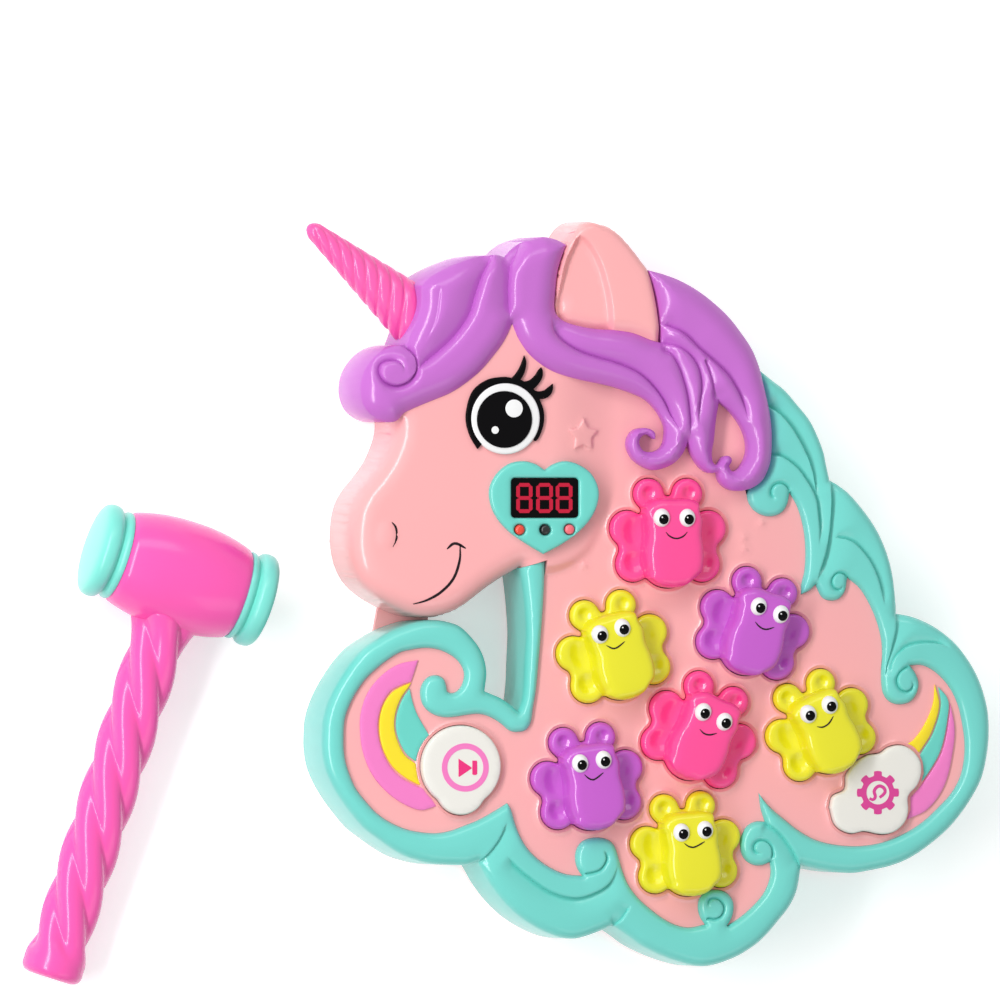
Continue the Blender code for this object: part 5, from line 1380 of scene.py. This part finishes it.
barrel_end = barrel_radius * (1 - barrel_taper) - barrel_edge
barrel_profile = [(barrel_end, -barrel_length / 2)]
for i in range(barrel_steps + 1):
    x = -0.5 + i / barrel_steps
    bulge = barrel_radius * (1 - barrel_taper * abs(2 * x) ** barrel_power)
    edge = fillet((0.5 - abs(x)) * barrel_length, barrel_edge)
    barrel_profile.append((bulge - edge, x * barrel_length * barrel_end_share))
barrel_profile.append((barrel_end, barrel_length / 2))
mallet_pink = moulded("mallet_pink", "F655AE", 0.22)
barrel = spindle("barrel", barrel_profile, seamed(mallet_sides), True)
fit(barrel, mallet_pink, "mallet", "hot_pink_plastic", "mallet_upper_half", "mallet_lower_half")

handle_rings = []
handle_end = mallet_length - knob_length
for i in range(handle_steps + 1):
    y = handle_root + (mallet_length - handle_root) * i / handle_steps
    into_knob = step_up(y - handle_end + knob_lead, knob_slope)
    root = root_swell * np.clip((root_end - y) / (root_end - root_start), 0, 1) ** 2
    radius = handle_radius + (knob_radius - handle_radius) * into_knob + root
    radius -= fillet(mallet_length - y, knob_edge)
    lobes = strand_share * (1 - into_knob)
    ring = []
    for angle in seamed(handle_sides):
        strand = abs(math.cos((strands * angle + math.tau * y / strand_pitch) / 2))
        reach = radius * (1 + lobes * (strand * 2 - strand_level)) - seam_cut(angle)
        ring.append((reach * math.cos(angle), -y, reach * math.sin(angle)))
    handle_rings.append(ring[::-1])
handle = tube("handle", handle_rings, 60)
handle.data.transform(mallet_seat)
fit(handle, mallet_pink, "mallet", "hot_pink_plastic")

striker_aqua = moulded("striker_aqua", "78D9CC", 0.3)
striker_start = barrel_length / 2 - striker_sink
striker_shares = [
    (0.60, 0.00), (0.885, 0.00), (0.93, 0.03), (0.945, 0.09), (0.935, 0.17), (0.90, 0.24), (0.865, 0.275),
    (0.855, 0.30), (0.875, 0.33), (0.93, 0.37), (0.972, 0.43), (0.993, 0.51), (1.0, 0.60), (0.995, 0.70),
    (0.975, 0.79), (0.94, 0.86), (0.89, 0.905), (0.82, 0.935), (0.70, 0.96), (0.50, 0.98), (0.25, 0.995),
    (0.02, 1.0),
]
for name, side in (("left_striker", -1), ("right_striker", 1)):
    profile = [(radius * striker_radius, side * (striker_start + x * striker_length))
               for radius, x in striker_shares]
    striker = spindle(f"{name}_cap", profile if side > 0 else profile[::-1], seamed(mallet_sides))
    fit(striker, striker_aqua, "mallet", "aqua_shell", name)

# Back and inside, which keep the shapes of the solids: a flat cover with its battery door, a sliding
# switch, three cells, a paper-cone speaker, the key board and a steel spring under each cap.


def worn_metal(name, colour, roughness):
    """Bare or plated metal with fine drawing marks."""
    metal = moulded(name, colour, roughness, 0.06)
    dial(metal.node_tree.nodes["Principled BSDF"], {"Metallic": 1, "Coat Weight": 0})
    return metal


cover_pink = moulded("cover_pink", shell_pink, 0.42)
black_resin = moulded("black_resin", "1B1B1D", 0.5)
spring_steel = worn_metal("spring_steel", "C9CBCD", 0.3)
inside_plastics = {
    cover_pink: ("back_cover", "battery_door"),
    black_resin: ("power_switch", "display_module", "speaker"),
    moulded("board_green", "1F6B3E", 0.45, 0.12): ("key_board",),
    worn_metal("cell_jacket", "B9A45A", 0.35): ("battery_cell_1", "battery_cell_2", "battery_cell_3"),
    spring_steel: ("battery_door_screw", "pink_spring_1", "pink_spring_2", "yellow_spring_1",
                   "yellow_spring_2", "yellow_spring_3", "purple_spring_1", "purple_spring_2"),
}
for material, names in inside_plastics.items():
    for name in names:
        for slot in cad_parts[name].material_slots:
            slot.material = material

# Light and floor: one soft light high on the left, whose reflection runs down the left sides, a fill
# light in front, a third light at the back, and a white sheet that keeps the shadow.
console_middle = Vector((*seen([middle_pixels])[0], face_level))
paper_white, paper_strength, studio_strength = 0.93, 0.42, 0.44


def soft_box(name, away, size, power):
    """A soft box that looks at the console."""
    lamp = bpy.data.lights.new(name, "AREA")
    lamp.shape = "RECTANGLE"
    lamp.size, lamp.size_y = size
    lamp.energy = power
    box = bpy.data.objects.new(name, lamp)
    bpy.context.scene.collection.objects.link(box)
    box.location = console_middle + Vector(away)
    box.rotation_euler = (-Vector(away)).to_track_quat("-Z", "Y").to_euler()


soft_box("key_box", away=(-1.0, 0.25, 0.95), size=(2.0, 0.22), power=17)
soft_box("fill_box", away=(0.55, -1.3, 1.2), size=(1.2, 0.8), power=3)
soft_box("back_box", away=(-0.2, 1.5, 1.3), size=(1.4, 0.6), power=6)


def by_ray(tree, lighting, looked_at, output):
    """Sends out one shader on rays that give light, and the other on rays from the camera.

    A ray from the camera is looked along straight, by way of a gloss or through a pane."""
    ray, mix = tree.nodes.new("ShaderNodeLightPath"), tree.nodes.new("ShaderNodeMixShader")
    straight, at_all = tree.nodes.new("ShaderNodeMath"), tree.nodes.new("ShaderNodeMath")
    straight.operation = at_all.operation = "MAXIMUM"
    wire(tree, (ray, "Is Camera Ray", straight, 0), (ray, "Is Glossy Ray", straight, 1),
         (straight, "Value", at_all, 0), (ray, "Is Transmission Ray", at_all, 1), (at_all, "Value", mix, 0),
         (lighting, 0, mix, 1), (looked_at, 0, mix, 2), (mix, "Shader", output, "Surface"))


floor_reach = 6.0
floor_level = -0.0003
floor_mesh = bpy.data.meshes.new("floor_sheet")
floor_mesh.from_pydata([(x * floor_reach, y * floor_reach, floor_level)
                        for x, y in ((-1, -1), (1, -1), (1, 1), (-1, 1))], [], [(0, 1, 2, 3)])
floor_sheet = bpy.data.objects.new("floor_sheet", floor_mesh)
bpy.context.scene.collection.objects.link(floor_sheet)
paper = bpy.data.materials.new("white_paper")
paper.use_nodes = True
paper_nodes = paper.node_tree.nodes
paper_skin = dial(paper_nodes["Principled BSDF"],
                  {"Base Color": (*[paper_white] * 3, 1), "Roughness": 0.9, "Specular IOR Level": 0.1})
paper_glow = dial(paper_nodes.new("ShaderNodeEmission"), {"Strength": paper_strength})
paper_sum = paper_nodes.new("ShaderNodeAddShader")
wire(paper.node_tree, (paper_skin, "BSDF", paper_sum, 0), (paper_glow, "Emission", paper_sum, 1))
by_ray(paper.node_tree, paper_skin, paper_sum, paper_nodes["Material Output"])
floor_mesh.materials.append(paper)

world = bpy.data.worlds.new("studio")
bpy.context.scene.world = world
world.use_nodes = True
studio_nodes = world.node_tree.nodes
studio = dial(studio_nodes["Background"], {"Color": (1, 1, 1, 1), "Strength": studio_strength})
backdrop = dial(studio_nodes.new("ShaderNodeBackground"), {"Color": (1, 1, 1, 1), "Strength": 1})
by_ray(world.node_tree, studio, backdrop, studio_nodes["World Output"])
bpy.context.scene.view_settings.view_transform = "Standard"
